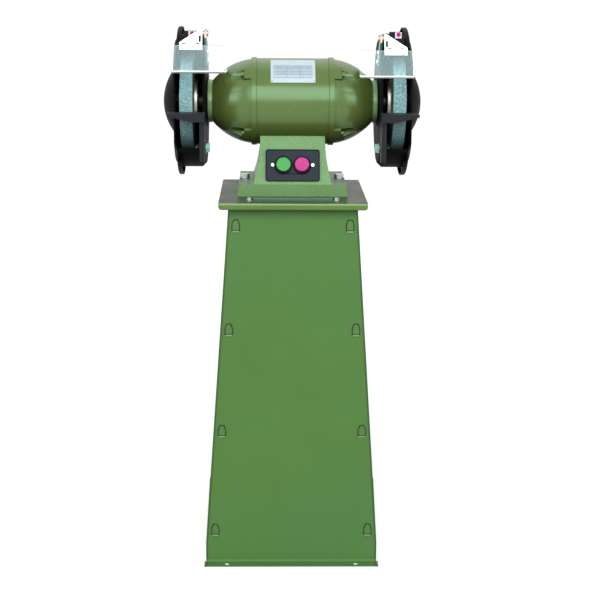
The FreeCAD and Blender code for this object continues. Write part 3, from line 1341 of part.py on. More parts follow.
def eye_shield(word, side):
    """Clear sheet clamped behind a bent bracket; local z runs up the sheet, -y faces the user."""
    ear_in = plate_in + bracket_offset
    t = bracket_sheet
    screw_x = (ear_in + bracket_outer) / 2
    screws = [(side * screw_x + s * shield_screw_gap / 2, shield_screw_up) for s in (-1, 1)]

    def in_place(piece):
        return piece.place(0, setback - shield_ahead, shaft_height + shield_rise + lift(side),
                           Vector(-1, 0, 0), shield_angle)

    bracket = Piece(word + "_shield_bracket")
    face = [(ear_in, 0), (bracket_outer, 0), (bracket_outer, bracket_side), (ear_in + bracket_head, bracket_top),
            (ear_in, bracket_top)]
    bracket.pad("XZ", 0 - t, t, turned(("outline", face), side))
    reach = pivot_behind + pivot_radius * 2
    bracket.pad_across(side, ear_in, ear_in + t,
                       outline((0, pivot_up - ear_drop), (reach, pivot_up - pivot_radius * 1.6),
                               (reach, pivot_up + pivot_radius * 1.6), (0, bracket_top)))
    bracket.cut_across(side, ear_in, ear_in + t, circle(pivot_behind, pivot_up, pivot_radius + pivot_clearance))
    bracket.cut("XZ", 0 - t, t, *[circle(x, z, small_screw + tie_clearance) for x, z in screws])
    bracket.cut("XZ", 0 - t, t, *[slot(x - 3, x + 3, z + 8, 1) for x, z in screws])
    hole = rounded(ear_in + t + 1, bracket_slot_low, ear_in + t + 5, bracket_slot_high, 1.5)
    bracket.cut("XZ", 0 - t, t, turned(hole, side))
    in_place(bracket)

    glass = Piece(word + "_eye_shield")
    wide = shield_outer + shield_flare
    c = shield_corner
    low = 0 - shield_drop
    sheet_edge = outline((shield_inner + c, low), (wide - c, low), (wide, low + c), (shield_outer, shield_overlap - c),
                         (shield_outer - c, shield_overlap), (shield_inner + c, shield_overlap),
                         (shield_inner, shield_overlap - c), (shield_inner, low + c))
    glass.pad("XZ", 0, shield_sheet, turned(sheet_edge, side))
    lip = rectangle(shield_inner + c, low, wide - c, low + shield_sheet)
    glass.pad("XZ", 0 - shield_lip, shield_lip, turned(lip, side))
    glass.cut("XZ", 0, shield_sheet, *[circle(x, z, small_screw + tie_clearance) for x, z in screws])
    in_place(glass)

    fixings = Piece(word + "_shield_screws")
    fixings.pad("XZ", 0 - t - 1.5, 1.5, *[circle(x, z, small_head) for x, z in screws])
    fixings.pad("XZ", 0 - t, t + shield_sheet, *[circle(x, z, small_screw) for x, z in screws])
    fixings.pad("XZ", shield_sheet, small_head_height, *[hexagon(x, z, small_head * 1.8) for x, z in screws])
    in_place(fixings)


# ---------------------------------------------------------------- the whole

def build():
    column()
    top_plate()
    plate_bolts()
    plate_strip()
    base_casting()
    base_bolts()
    base_nuts()
    motor_bolts()
    base_cover()
    capacitor()
    cable_gland()
    switch()
    motor_housing()
    name_plate()
    tie_bolts()
    stator()
    rotor()
    shaft()
    for word, side in (("left", -1), ("right", 1)):
        end_bell(word + "_end_bell", side)
        bearing(word + "_bearing", side)
        wheel_set(word, side)
        inner_guard(word, side)
        outer_cover(word, side)
        tool_rest(word, side)
        spark_arrester(word, side)
        eye_shield(word, side)
    guard_screws()
    rest_bolts()
    arrester_screws()
    shield_bars()
    shield_pivots()


def check_and_write():
    """Stop on any failed object or bad shape; otherwise write one STEP file for each sub-part."""
    failed = [thing.Name for thing in doc.Objects if "Invalid" in thing.State or "Error" in thing.State]
    if failed:
        raise RuntimeError("failed objects: " + ", ".join(failed))
    for name, thing in subparts.items():
        if thing.Shape.isNull() or not thing.Shape.isValid() or not thing.Shape.Solids:
            raise RuntimeError("bad shape: " + name)
    os.makedirs("parts", exist_ok=True)
    for name, thing in subparts.items():
        thing.Shape.exportStep(os.path.join("parts", name + ".step"))


build()
doc.recompute()
check_and_write()
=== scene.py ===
"""Looks for the pedestal bench grinder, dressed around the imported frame.

Metres, in the frame of the CAD part: +X to the operator's right, +Y away, +Z up, floor at 0.
Colours that pass through linear() are 0-255 display values, the others are linear.
"""

import math

import bpy
from mathutils import Matrix, Vector


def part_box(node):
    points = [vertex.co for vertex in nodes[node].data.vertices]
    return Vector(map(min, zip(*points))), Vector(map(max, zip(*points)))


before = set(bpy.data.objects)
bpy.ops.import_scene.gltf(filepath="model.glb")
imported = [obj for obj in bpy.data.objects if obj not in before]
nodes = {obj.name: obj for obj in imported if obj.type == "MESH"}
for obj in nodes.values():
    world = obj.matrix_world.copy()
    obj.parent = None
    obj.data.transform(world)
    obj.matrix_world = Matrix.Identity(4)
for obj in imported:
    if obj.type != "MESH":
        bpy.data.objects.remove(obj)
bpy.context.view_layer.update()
scene = bpy.context.scene

# ---------------------------------------------------------------- camera

CAMERA_PLACE = Vector((-0.0479, -2.9448, 1.1867))
CAMERA_DOWN = math.radians(13.0)
CAMERA_YAW = math.radians(1.277)
CAMERA_ROLL = math.radians(0.4)
SENSOR = 36.0
LENS = 88.1

# ---------------------------------------------------------------- light and floor

WHITE = (1.0, 1.0, 1.0, 1.0)
WORLD_LIGHT = 0.24
FLOOR_REACH = 12.0
FLOOR_COLOUR = (0.3, 0.3, 0.3, 1.0)
# Distance from the middle of the floor, and strength of the floor's own light there.
FLOOR_NEAR = (0.6, 0.82)
FLOOR_FAR = (2.5, 0.97)

# ---------------------------------------------------------------- places of printed and coloured areas

# Half widths over which a coloured area fades out at its edge.
SHARP = 0.0002
SOFT = 0.0003

SHAFT_Y = 0.020
SHAFT_Z = 0.912

# Motor plate: angles from straight up toward the operator in degrees, the rest in metres.
PLATE_ROWS = (31.0, 36.5, 42.0, 47.5, 53.0)
PLATE_COLUMNS = (-0.038, -0.012, 0.014, 0.038)
PLATE_BANDS = ((31.0, 36.5, 1.0), (36.5, 42.0, 0.7), (42.0, 47.5, 0.9), (47.5, 53.0, 0.45))
PLATE_RADIUS = 0.0862
RULE_HALF_ANGLE = 0.004
RULE_SOFT_ANGLE = 0.002
BAND_SOFT_ANGLE = 0.004
RULE_HALF = 0.0003
RIVET_ROWS = (17.5, 57.5)
RIVET_X = 0.0410
RIVET_RADIUS = 0.0010

# Labels on the tabs of the spark arresters: span across, and middle of the round spot.
TAB_FRONT = -0.058
LEFT_LABEL = ((0.1901, 0.2031), 0.1958)
RIGHT_LABEL = ((0.1974, 0.2102), 0.2043)
LABEL_HEIGHT = (1.0415, 1.0532)
DOT_HEIGHT = 1.0487
DOT_RADIUS = 0.0042

SWITCH_EDGE_X = 0.0512
SWITCH_EDGE_Z = (0.7656, 0.8218)
SWITCH_BUTTON_X = 0.0182
SWITCH_BUTTON_Z = 0.7940
SWITCH_RING = 0.0176

FLANGE_BRIGHT = 0.1895
NECK_START = 0.1600
SHIELD_LIP = 0.0052
SHIELD_LIP_FADE = 0.0004
SHIELD_IOR = 1.2

# Hook windows: places along the column, and outline from the sill up.
WINDOW_SILL = 0.0602
WINDOW_PITCH = 0.2056
WINDOW_STEPS = 3
WINDOW_BELOW = 0.020
WINDOW_CENTRE = (0.15317, 0.11094)
WINDOW_SHOULDER = 0.0125
WINDOW_HEIGHT = 0.0210
WINDOW_HALF = 0.0072
WINDOW_CROWN = 0.0040
# Reach of the painted shade round each hook window, and the distance over which it fades.
WINDOW_SHADE = 0.0012
WINDOW_SHADE_FADE = (0.0010, 0.0016)
# Heights of the painted shade where the hooks turn over the sill and of the painted highlight along their lip.
HOOK_TURN = (-0.0006, 0.0020)
HOOK_LIP = (-0.0040, -0.0006)

# Front and rear panel: height and half width at the foot and at the top, then places of the painted shade down the
# side edges and of the painted highlight along the bend.
PANEL_FOOT = (0.041, 0.172)
PANEL_TOP = (0.7305, 0.1248)
PANEL_EDGE_SHADE = (-0.0048, -0.0034)
PANEL_BEND = (0.0022, 0.0066)
# Height up to which the column is painted lighter toward the floor, as painted light.
PAINTED_LIGHT_FOOT_TOP = 0.5

# Heights of the tray's bend with its painted highlight and of its foot with painted shade, then where the painted
# shadow in front of the casting ends and its half width.
TRAY_BEND = 0.7296
TRAY_FOOT = 0.7218
TRAY_LINE_FADE = 0.0006
TRAY_SHADE = -0.1300
TRAY_SHADE_FADE = 0.01
TRAY_SHADE_HALF = (0.118, 0.128)

# ---------------------------------------------------------------- texture levels

# Noise values between which a patch fades in.
EVEN = (0.3, 0.7)
CLOUDY = (0.35, 0.7)
GLOSSY = (0.3, 0.75)

BEVEL_SAMPLES = 4
EDGE_TURN = 0.25
FACING_UP = (0.7, 1.0)
PEEL_SCALE = 900.0
PEEL_HEIGHT = 0.00003
SCRATCH_HEIGHT = 0.00002
METAL_EDGE = 0.0004
PLASTIC_EDGE = 0.0006
GRAIN_SCALE = 700.0
GRAIN_HEIGHT = 0.00003
TEAL = (0.55, 1.0, 0.7, 1.0)


def make_camera():
    """The photo's camera: place, aim, roll and lens as solved from the outlines."""
    forward = Vector((math.sin(CAMERA_YAW) * math.cos(CAMERA_DOWN),
                      math.cos(CAMERA_YAW) * math.cos(CAMERA_DOWN), -math.sin(CAMERA_DOWN)))
    right = Vector((math.cos(CAMERA_YAW), -math.sin(CAMERA_YAW), 0.0))
    up = right.cross(forward)
    rolled_right = math.cos(CAMERA_ROLL) * right + math.sin(CAMERA_ROLL) * up
    rolled_up = -math.sin(CAMERA_ROLL) * right + math.cos(CAMERA_ROLL) * up
    turn = Matrix((rolled_right, rolled_up, -forward)).transposed()
    data = bpy.data.cameras.new("camera")
    data.sensor_width = SENSOR
    data.lens = LENS
    camera = bpy.data.objects.new("camera", data)
    camera.matrix_world = Matrix.Translation(CAMERA_PLACE) @ turn.to_4x4()
    scene.collection.objects.link(camera)
    scene.camera = camera


# ---------------------------------------------------------------- material building

def linear(colour):
    """A 0-255 display colour as linear values with alpha."""
    out = []
    for level in colour:
        c = level / 255.0
        out.append(c / 12.92 if c <= 0.04045 else ((c + 0.055) / 1.055) ** 2.4)
    return (*out, 1.0)


def scaled(colour, factor):
    """A linear colour made lighter or darker."""
    return (*(min(level * factor, 1.0) for level in colour[:3]), 1.0)


class Finish:
    """A node material under construction, in object coordinates."""

    def __init__(self, name):
        self.material = bpy.data.materials.new(name)
        self.material.use_nodes = True
        self.tree = self.material.node_tree
        self.tree.nodes.clear()
        self.output = self.add("ShaderNodeOutputMaterial")
        self.coords = self.add("ShaderNodeTexCoord").outputs["Object"]
        self.shader = self.add("ShaderNodeBsdfPrincipled")
        self.link(self.shader.outputs["BSDF"], self.output.inputs["Surface"])

    def add(self, kind, **values):
        """A new node with its settings."""
        node = self.tree.nodes.new(kind)
        for name, value in values.items():
            setattr(node, name, value)
        return node

    def link(self, source, target):
        self.tree.links.new(source, target)

    def put(self, socket, value):
        """Link a socket, or set a plain value."""
        if isinstance(value, bpy.types.NodeSocket):
            self.link(value, socket)
        else:
            socket.default_value = value

    def noise(self, scale, detail=3.0, rough=0.55, stretch=None):
        """Noise value over object coordinates; scale is in features per metre."""
        coords = self.coords
        if stretch:
            mapping = self.add("ShaderNodeMapping")
            mapping.inputs["Scale"].default_value = stretch
            self.link(coords, mapping.inputs["Vector"])
            coords = mapping.outputs["Vector"]
        node = self.add("ShaderNodeTexNoise")
        node.inputs["Scale"].default_value = scale
        node.inputs["Detail"].default_value = detail
        node.inputs["Roughness"].default_value = rough
        self.link(coords, node.inputs["Vector"])
        return node.outputs["Fac"]

    def cells(self, scale):
        """Distance to the nearest of many scattered points; scale is in points per metre."""
        node = self.add("ShaderNodeTexVoronoi")
        node.inputs["Scale"].default_value = scale
        self.link(self.coords, node.inputs["Vector"])
        return node.outputs["Distance"]

    def ramp(self, value, low, high, to_low=0.0, to_high=1.0):
        """A value carried from one range to another, and held at its ends."""
        node = self.add("ShaderNodeMapRange", clamp=True)
        for name, number in (("From Min", low), ("From Max", high), ("To Min", to_low), ("To Max", to_high)):
            node.inputs[name].default_value = number
        self.put(node.inputs["Value"], value)
        return node.outputs["Result"]

    def step(self, value, place, soft=SOFT, below=0.0, above=1.0):
        """One number below a place and another above it, with a soft change between them."""
        return self.ramp(value, place - soft, place + soft, below, above)

    def between(self, value, low, high, soft=SHARP):
        """1 where the value lies between two bounds, with a soft step at each."""
        return self.math("MULTIPLY", self.step(value, low, soft), self.step(value, high, soft, 1.0, 0.0))

    def math(self, operation, first, second=0.0):
        """A sum, product or other function of sockets or numbers."""
        node = self.add("ShaderNodeMath", operation=operation)
        self.put(node.inputs[0], first)
        self.put(node.inputs[1], second)
        return node.outputs["Value"]

    def distance(self, first, second):
        """Length of a step with two parts at right angles."""
        squares = [self.math("MULTIPLY", part, part) for part in (first, second)]
        return self.math("SQRT", self.math("ADD", *squares))

    def mix(self, amount, first, second):
        """The first colour where the amount is 0, the second where it is 1."""
        node = self.add("ShaderNodeMix", data_type="RGBA")
        self.put(node.inputs["Factor"], amount)
        self.put(node.inputs[6], first)
        self.put(node.inputs[7], second)
        return node.outputs[2]

    def rounded_normal(self, radius):
        """The surface normal, turned near edges as if they were rounded."""
        node = self.add("ShaderNodeBevel", samples=BEVEL_SAMPLES)
        node.inputs["Radius"].default_value = radius
        return node.outputs["Normal"]

    def edges(self, normal):
        """1 on edges, from how far the rounded normal turns from the true one."""
        geometry = self.add("ShaderNodeNewGeometry")
        dot = self.add("ShaderNodeVectorMath", operation="DOT_PRODUCT")
        self.link(normal, dot.inputs[0])
        self.link(geometry.outputs["True Normal"], dot.inputs[1])
        return self.ramp(dot.outputs["Value"], 1.0, 1.0 - EDGE_TURN)

    def axis(self, name):
        """One object coordinate, in metres."""
        split = self.add("ShaderNodeSeparateXYZ")
        self.link(self.coords, split.inputs["Vector"])
        return split.outputs[name]

    def across(self):
        """Distance from the middle plane of the object, in metres."""
        return self.math("ABSOLUTE", self.axis("X"))

    def slope(self):
        """Height of the surface normal: 1 facing up, 0 upright, -1 facing down."""
        geometry = self.add("ShaderNodeNewGeometry")
        split = self.add("ShaderNodeSeparateXYZ")
        self.link(geometry.outputs["True Normal"], split.inputs["Vector"])
        return split.outputs["Z"]

    def upward(self):
        """How much the surface faces up, 0 to 1."""
        return self.ramp(self.slope(), *FACING_UP)

    def bump(self, height, distance, normal=None):
        """A normal bent by a height, over another normal if one is given."""
        node = self.add("ShaderNodeBump")
        node.inputs["Strength"].default_value = 1.0
        node.inputs["Distance"].default_value = distance
        self.put(node.inputs["Height"], height)
        if normal:
            self.link(normal, node.inputs["Normal"])
        return node.outputs["Normal"]

    def set(self, **values):
        """Sockets of the main shader by name, with _ for a blank."""
        for name, value in values.items():
            self.put(self.shader.inputs[name.replace("_", " ")], value)
        return self


# ---------------------------------------------------------------- paint and its marks

def paint(name, colour, shift, rough=0.38, specular=0.35, speckle=0.12, wear=0.4, wear_colour=(132, 138, 130),
          edge=0.0008, cast=0.0, cast_scale=300.0, top_dust_and_light_colour=None, top_dust_and_light_share=0.0, tint=WHITE, underside_shade=0.0,
          marks=None):
    """Sprayed paint with drift of tone, speckle, tops partly dusty and partly painted shade and reflection, painted
    shade on undersides, chipped edges and orange peel.

    cast is the height of the cast grain below the paint, and marks adds what belongs to one kind of piece.
    """
    f = Finish(name)
    base = linear(colour)
    dark = scaled(base, 1.0 - shift)
    light = scaled(base, 1.0 + shift)
    tone = f.mix(f.ramp(f.noise(scale=7.0, detail=4.0), *EVEN), dark, light)
    fine = f.noise(scale=380.0, detail=3.0, rough=0.6)
    tone = f.mix(f.ramp(fine, 0.3, 0.5, speckle, 0.0), tone, scaled(base, 0.45))
    tone = f.mix(f.ramp(fine, 0.52, 0.7, 0.0, speckle), tone, scaled(base, 1.8))
    # Up-facing faces mixed toward another colour: partly dust, partly painted shade and painted reflection on the
    # tops.
    if top_dust_and_light_colour:
        top_dust_and_light = f.ramp(f.noise(scale=26.0, detail=5.0), *EVEN, top_dust_and_light_share * 0.85, top_dust_and_light_share)
        tone = f.mix(f.math("MULTIPLY", f.upward(), top_dust_and_light), tone, linear(top_dust_and_light_colour))
    if marks:
        tone = marks(f, tone, base)
    # Painted shade: faces that point down are darkened toward a third of the paint's colour, with their gloss turned
    # down.
    if underside_shade:
        below = f.slope()
        tone = f.mix(f.ramp(below, -0.85, -0.4, underside_shade, 0.0), tone, scaled(base, 0.3))
        specular = f.ramp(below, -0.75, -0.3, 0.03, specular)
    rounded = f.rounded_normal(edge)
    chips = f.ramp(f.noise(scale=160.0, detail=5.0, rough=0.7), 0.54, 0.68, 0.0, wear)
    tone = f.mix(f.math("MULTIPLY", f.edges(rounded), chips), tone, linear(wear_colour))
    gloss = f.ramp(f.noise(scale=24.0, detail=5.0, rough=0.6), *GLOSSY, rough - 0.05, rough + 0.08)
    normal = f.bump(f.noise(scale=PEEL_SCALE, detail=2.0, rough=0.5), PEEL_HEIGHT, rounded)
    if cast:
        normal = f.bump(f.noise(scale=cast_scale, detail=4.0, rough=0.6), cast, normal)
    return f.set(Base_Color=tone, Roughness=gloss, Normal=normal, Specular_IOR_Level=specular,
                 Specular_Tint=tint).material


def window_place(f):
    """Height above the sill of the nearest hook window, and distance beyond its side edge."""
    climb = f.math("MODULO", f.math("SUBTRACT", f.axis("Z"), WINDOW_SILL - WINDOW_BELOW), WINDOW_PITCH)
    rise = f.math("SUBTRACT", climb, WINDOW_BELOW)
    sill = f.math("SUBTRACT", f.axis("Z"), rise)
    centre = f.ramp(sill, WINDOW_SILL, WINDOW_SILL + WINDOW_STEPS * WINDOW_PITCH, *WINDOW_CENTRE)
    away = f.math("ABSOLUTE", f.math("SUBTRACT", f.across(), centre))
    half = f.ramp(rise, WINDOW_SHOULDER, WINDOW_HEIGHT, WINDOW_HALF, WINDOW_CROWN)
    return rise, f.math("SUBTRACT", away, half)


def panel_marks(f, tone, base):
    """Painted light on the lower column, cool patches, painted shade round the hook windows and down the side edges, a
    painted highlight along the bend at the foot.
    """
    cool_green = linear((80, 134, 84))
    bend_highlight_green = linear((116, 160, 104))
    height = f.axis("Z")
    # Painted light: the column is painted lighter toward the floor, fading out higher up.
    tone = f.mix(f.ramp(height, 0.0, PAINTED_LIGHT_FOOT_TOP, 0.35, 0.0), tone, scaled(base, 1.4))
    patches = f.ramp(f.noise(scale=3.2, detail=3.0), 0.4, 0.65, 0.0, 0.35)
    tone = f.mix(patches, tone, cool_green)
    rise, outside = window_place(f)
    # Painted shade: an outline darkened round each hook window, where its recess lies in shade.
    window_shade = f.math("MULTIPLY", f.between(rise, -WINDOW_SHADE, WINDOW_HEIGHT + WINDOW_SHADE),
                  f.ramp(outside, *WINDOW_SHADE_FADE, 0.8, 0.0))
    tone = f.mix(window_shade, tone, scaled(base, 0.3))
    # Painted shade: a dark band along the side edges, standing in for the gap to the side panels.
    half_width = f.ramp(height, PANEL_FOOT[0], PANEL_TOP[0], PANEL_FOOT[1], PANEL_TOP[1])
    beyond = f.math("SUBTRACT", f.across(), half_width)
    tone = f.mix(f.ramp(beyond, *PANEL_EDGE_SHADE, 0.0, 0.6), tone, scaled(base, 0.25))
    # Painted highlight: a bright band along the bend at the foot.
    return f.mix(f.math("MULTIPLY", f.between(height, *PANEL_BEND), 0.8), tone, bend_highlight_green)


def hook_marks(f, tone, base):
    """Hooks painted a little paler over the window face, painted shade where they turn over the sill, a painted
    highlight along the lip.
    """
    window_face_pale = linear((124, 136, 108))
    lip_highlight_green = linear((148, 204, 146))
    rise, outside = window_place(f)
    inside = f.step(outside, 0.0, SHARP, 1.0, 0.0)
    face = f.math("MULTIPLY", inside, f.between(rise, 0.0, WINDOW_HEIGHT))
    tone = f.mix(f.math("MULTIPLY", face, 0.25), tone, window_face_pale)
    # Painted shade where the hook turns over the sill.
    turn = f.math("MULTIPLY", inside, f.between(rise, *HOOK_TURN))
    tone = f.mix(f.math("MULTIPLY", turn, 0.8), tone, scaled(base, 0.3))
    # Painted highlight: a pale line along the lip below each window.
    lip = f.math("MULTIPLY", inside, f.between(rise, *HOOK_LIP))
    return f.mix(f.math("MULTIPLY", lip, 0.8), tone, lip_highlight_green)


def tray_marks(f, tone, base):
    """A painted highlight along the bend of the lip, painted shade along its foot, and a painted shadow on the tray's
    top in front of the casting.
    """
    bend_highlight_green = linear((178, 200, 156))
    height = f.axis("Z")
    # Painted highlight along the bend of the lip.
    upright = f.ramp(f.slope(), 0.5, 0.9, 1.0, 0.0)
    bend = f.math("MULTIPLY", upright, f.ramp(height, TRAY_BEND, TRAY_BEND + TRAY_LINE_FADE, 0.0, 0.8))
    tone = f.mix(bend, tone, bend_highlight_green)
    # Painted shade along the foot of the lip.
    tone = f.mix(f.ramp(height, TRAY_FOOT, TRAY_FOOT + TRAY_LINE_FADE, 0.6, 0.0), tone, scaled(base, 0.4))
    # Painted shadow on the tray's top in front of the casting.
    middle = f.ramp(f.across(), *TRAY_SHADE_HALF, 0.75, 0.0)
    front = f.ramp(f.axis("Y"), TRAY_SHADE, TRAY_SHADE + TRAY_SHADE_FADE, 1.0, 0.0)
    shade = f.math("MULTIPLY", f.upward(), f.math("MULTIPLY", middle, front))
    return f.mix(shade, tone, scaled(base, 0.35))


def neck_marks(f, tone, base):
    """The neck of the bell is painted paler than its dome."""
    return f.mix(f.step(f.across(), NECK_START, SOFT, 0.0, 0.8), tone, linear((144, 178, 124)))


# ---------------------------------------------------------------- other finishes

def metal(name, colour, rough=0.3, brushed=(1.0, 1.0, 1.0), spots=0.1, tarnish=(90, 92, 88)):
    """Bare or plated metal: patchy sheen, fine scratches, a little tarnish."""
    f = Finish(name)
    base = linear(colour)
    cloud = f.noise(scale=60.0, detail=4.0, rough=0.6)
    tone = f.mix(f.ramp(cloud, *CLOUDY), base, scaled(base, 0.84))
    stain = f.ramp(f.noise(scale=230.0, detail=5.0, rough=0.7), 0.58, 0.75, 0.0, spots)
    tone = f.mix(stain, tone, linear(tarnish))
    scratch = f.noise(scale=500.0, detail=3.0, rough=0.6, stretch=brushed)
    gloss = f.ramp(scratch, *GLOSSY, rough - 0.07, rough + 0.12)
    normal = f.bump(scratch, SCRATCH_HEIGHT, f.rounded_normal(METAL_EDGE))
    return f.set(Base_Color=tone, Metallic=1.0, Roughness=gloss, Normal=normal).material


def plastic(name, colour, rough, specular=0.5):
    """Moulded plastic: even colour with faint flow marks, fine grain and finger smears in the gloss."""
    f = Finish(name)
    base = linear(colour)
    tone = f.mix(f.ramp(f.noise(scale=45.0, detail=4.0), *CLOUDY), base, scaled(base, 0.9))
    gloss = f.ramp(f.noise(scale=90.0, detail=4.0, rough=0.6), *GLOSSY, rough - 0.05, rough + 0.1)
    normal = f.bump(f.noise(scale=GRAIN_SCALE, detail=2.0), GRAIN_HEIGHT, f.rounded_normal(PLASTIC_EDGE))
    return f.set(Base_Color=tone, Roughness=gloss, Normal=normal, Specular_IOR_Level=specular).material


def abrasive(name):
    """Vitrified abrasive: packed grains of two tones with open pores between them."""
    f = Finish(name)
    body = linear((138, 184, 185))
    deep = linear((98, 146, 148))
    bright = linear((214, 244, 245))
    pore = linear((40, 60, 62))
    tone = f.mix(f.ramp(f.noise(scale=320.0, detail=5.0, rough=0.8), 0.42, 0.58), deep, body)
    grains = f.ramp(f.noise(scale=420.0, detail=4.0, rough=0.75), 0.52, 0.6, 0.0, 0.65)
    tone = f.mix(grains, tone, bright)
    tone = f.mix(f.ramp(f.cells(scale=480.0), 0.0, 0.3, 0.4, 0.0), tone, pore)
    normal = f.bump(f.noise(scale=480.0, detail=5.0, rough=0.75), 0.0004)
    return f.set(Base_Color=tone, Roughness=0.85, Normal=normal, Specular_IOR_Level=0.25).material


def card(name):
    """Compressed paper blotter, copper brown, with loose fibres."""
    f = Finish(name)
    fibre = f.noise(scale=300.0, detail=5.0, rough=0.7, stretch=(1.0, 3.0, 0.6))
    tone = f.mix(f.ramp(fibre, *CLOUDY), linear((228, 142, 98)), linear((196, 112, 74)))
    normal = f.bump(f.noise(scale=GRAIN_SCALE, detail=3.0), 0.0001)
    return f.set(Base_Color=tone, Roughness=0.7, Normal=normal).material


def turned_flange(name):
    """Turned flange: bright face beside the wheel, near-black hub toward the motor."""
    f = Finish(name)
    rings = f.noise(scale=600.0, detail=3.0, rough=0.6, stretch=(1.0, 0.05, 0.05))
    bright = f.mix(rings, linear((250, 248, 240)), linear((236, 236, 230)))
    hub = f.mix(f.noise(scale=120.0, detail=4.0), linear((12, 13, 14)), linear((22, 24, 24)))
    face = f.step(f.across(), FLANGE_BRIGHT)
    gloss = f.ramp(rings, *GLOSSY, 0.34, 0.5)
    normal = f.bump(rings, SCRATCH_HEIGHT, f.rounded_normal(METAL_EDGE))
    return f.set(Base_Color=f.mix(face, hub, bright), Metallic=face, Roughness=gloss, Normal=normal).material


def labelled_plate(name, label, dot):
    """Black sprayed plate with a bare white label and a plain round spot stuck on its front."""
    f = Finish(name)
    across = f.across()
    height = f.axis("Z")
    front = f.ramp(f.axis("Y"), TAB_FRONT + SOFT, TAB_FRONT + 2 * SOFT, 1.0, 0.0)
    paper = f.math("MULTIPLY", front, f.between(across, *label))
    paper = f.math("MULTIPLY", paper, f.between(height, *LABEL_HEIGHT))
    reach = f.distance(f.math("SUBTRACT", across, dot), f.math("SUBTRACT", height, DOT_HEIGHT))
    spot = f.math("MULTIPLY", front, f.step(reach, DOT_RADIUS, SHARP, 1.0, 0.0))
    cloud = f.noise(scale=90.0, detail=4.0, rough=0.6)
    black = f.mix(cloud, linear((18, 20, 21)), linear((30, 33, 34)))
    white = f.mix(cloud, linear((240, 246, 246)), linear((214, 226, 226)))
    red = f.mix(cloud, linear((222, 24, 142)), linear((196, 12, 120)))
    tone = f.mix(spot, f.mix(paper, black, white), red)
    gloss = f.ramp(cloud, *EVEN, 0.42, 0.6)
    normal = f.bump(f.noise(scale=300.0, detail=4.0, rough=0.6), 0.0001, f.rounded_normal(PLASTIC_EDGE))
    return f.set(Base_Color=tone, Roughness=gloss, Normal=normal, Specular_IOR_Level=0.15).material


def switch_face(name):
    """Dark moulded plate, black in a band along its border and in a ring round each button."""
    f = Finish(name)
    across = f.across()
    height = f.axis("Z")
    cloud = f.noise(scale=45.0, detail=4.0)
    inside = f.math("MULTIPLY", f.step(across, SWITCH_EDGE_X, SOFT, 1.0, 0.0),
                    f.between(height, *SWITCH_EDGE_Z, soft=SOFT))
    reach = f.distance(f.math("SUBTRACT", across, SWITCH_BUTTON_X), f.math("SUBTRACT", height, SWITCH_BUTTON_Z))
    field = f.math("MULTIPLY", inside, f.ramp(reach, SWITCH_RING, SWITCH_RING + 2 * SOFT))
    slate = f.mix(cloud, linear((42, 50, 58)), linear((52, 60, 68)))
    black = f.mix(cloud, linear((8, 9, 10)), linear((16, 18, 20)))
    gloss = f.ramp(f.noise(scale=90.0, detail=4.0, rough=0.6), *GLOSSY, 0.45, 0.6)
    normal = f.bump(f.noise(scale=GRAIN_SCALE, detail=2.0), GRAIN_HEIGHT, f.rounded_normal(PLASTIC_EDGE))
    return f.set(Base_Color=f.mix(field, black, slate), Roughness=gloss, Normal=normal,
                 Specular_IOR_Level=0.12).material


def clear_sheet(name, low):
    """Clear polycarbonate: see-through under a thin veil of scuffs, with a white rolled lower lip."""
    f = Finish(name)
    wipes = f.noise(scale=260.0, detail=4.0, rough=0.65, stretch=(0.25, 1.0, 1.6))
    normal = f.bump(wipes, 0.00001, f.rounded_normal(PLASTIC_EDGE))
    f.set(Base_Color=linear((250, 253, 253)), Roughness=f.ramp(wipes, 0.35, 0.75, 0.06, 0.18), Normal=normal)
    clear = f.add("ShaderNodeBsdfTransparent")
    clear.inputs["Color"].default_value = (0.985, 1.0, 0.998, 1.0)
    veil = f.add("ShaderNodeBsdfDiffuse")
    scuffs = f.ramp(f.noise(scale=40.0, detail=4.0), 0.3, 0.8)
    f.put(veil.inputs["Color"], f.mix(scuffs, (0.10, 0.14, 0.145, 1.0), (0.13, 0.17, 0.175, 1.0)))
    through = f.add("ShaderNodeAddShader")
    f.link(clear.outputs["BSDF"], through.inputs[0])
    f.link(veil.outputs["BSDF"], through.inputs[1])
    fresnel = f.add("ShaderNodeFresnel")
    fresnel.inputs["IOR"].default_value = SHIELD_IOR
    lip_top = low + SHIELD_LIP
    lip = f.ramp(f.axis("Z"), lip_top, lip_top + SHIELD_LIP_FADE, 0.96, 0.0)
    blend = f.add("ShaderNodeMixShader")
    f.link(f.math("MAXIMUM", fresnel.outputs["Fac"], lip), blend.inputs[0])
    f.link(through.outputs["Shader"], blend.inputs[1])
    f.link(f.shader.outputs["BSDF"], blend.inputs[2])
    f.link(blend.outputs["Shader"], f.output.inputs["Surface"])
    return f.material


def windings(name):
    """Varnished copper wire, wound round the spindle axis."""
    f = Finish(name)
    strands = f.noise(scale=900.0, detail=2.0, rough=0.5, stretch=(1.0, 0.2, 0.2))
    tone = f.mix(strands, linear((168, 92, 48)), linear((214, 140, 90)))
    return f.set(Base_Color=tone, Metallic=0.8, Roughness=0.35, Normal=f.bump(strands, 0.0002)).material


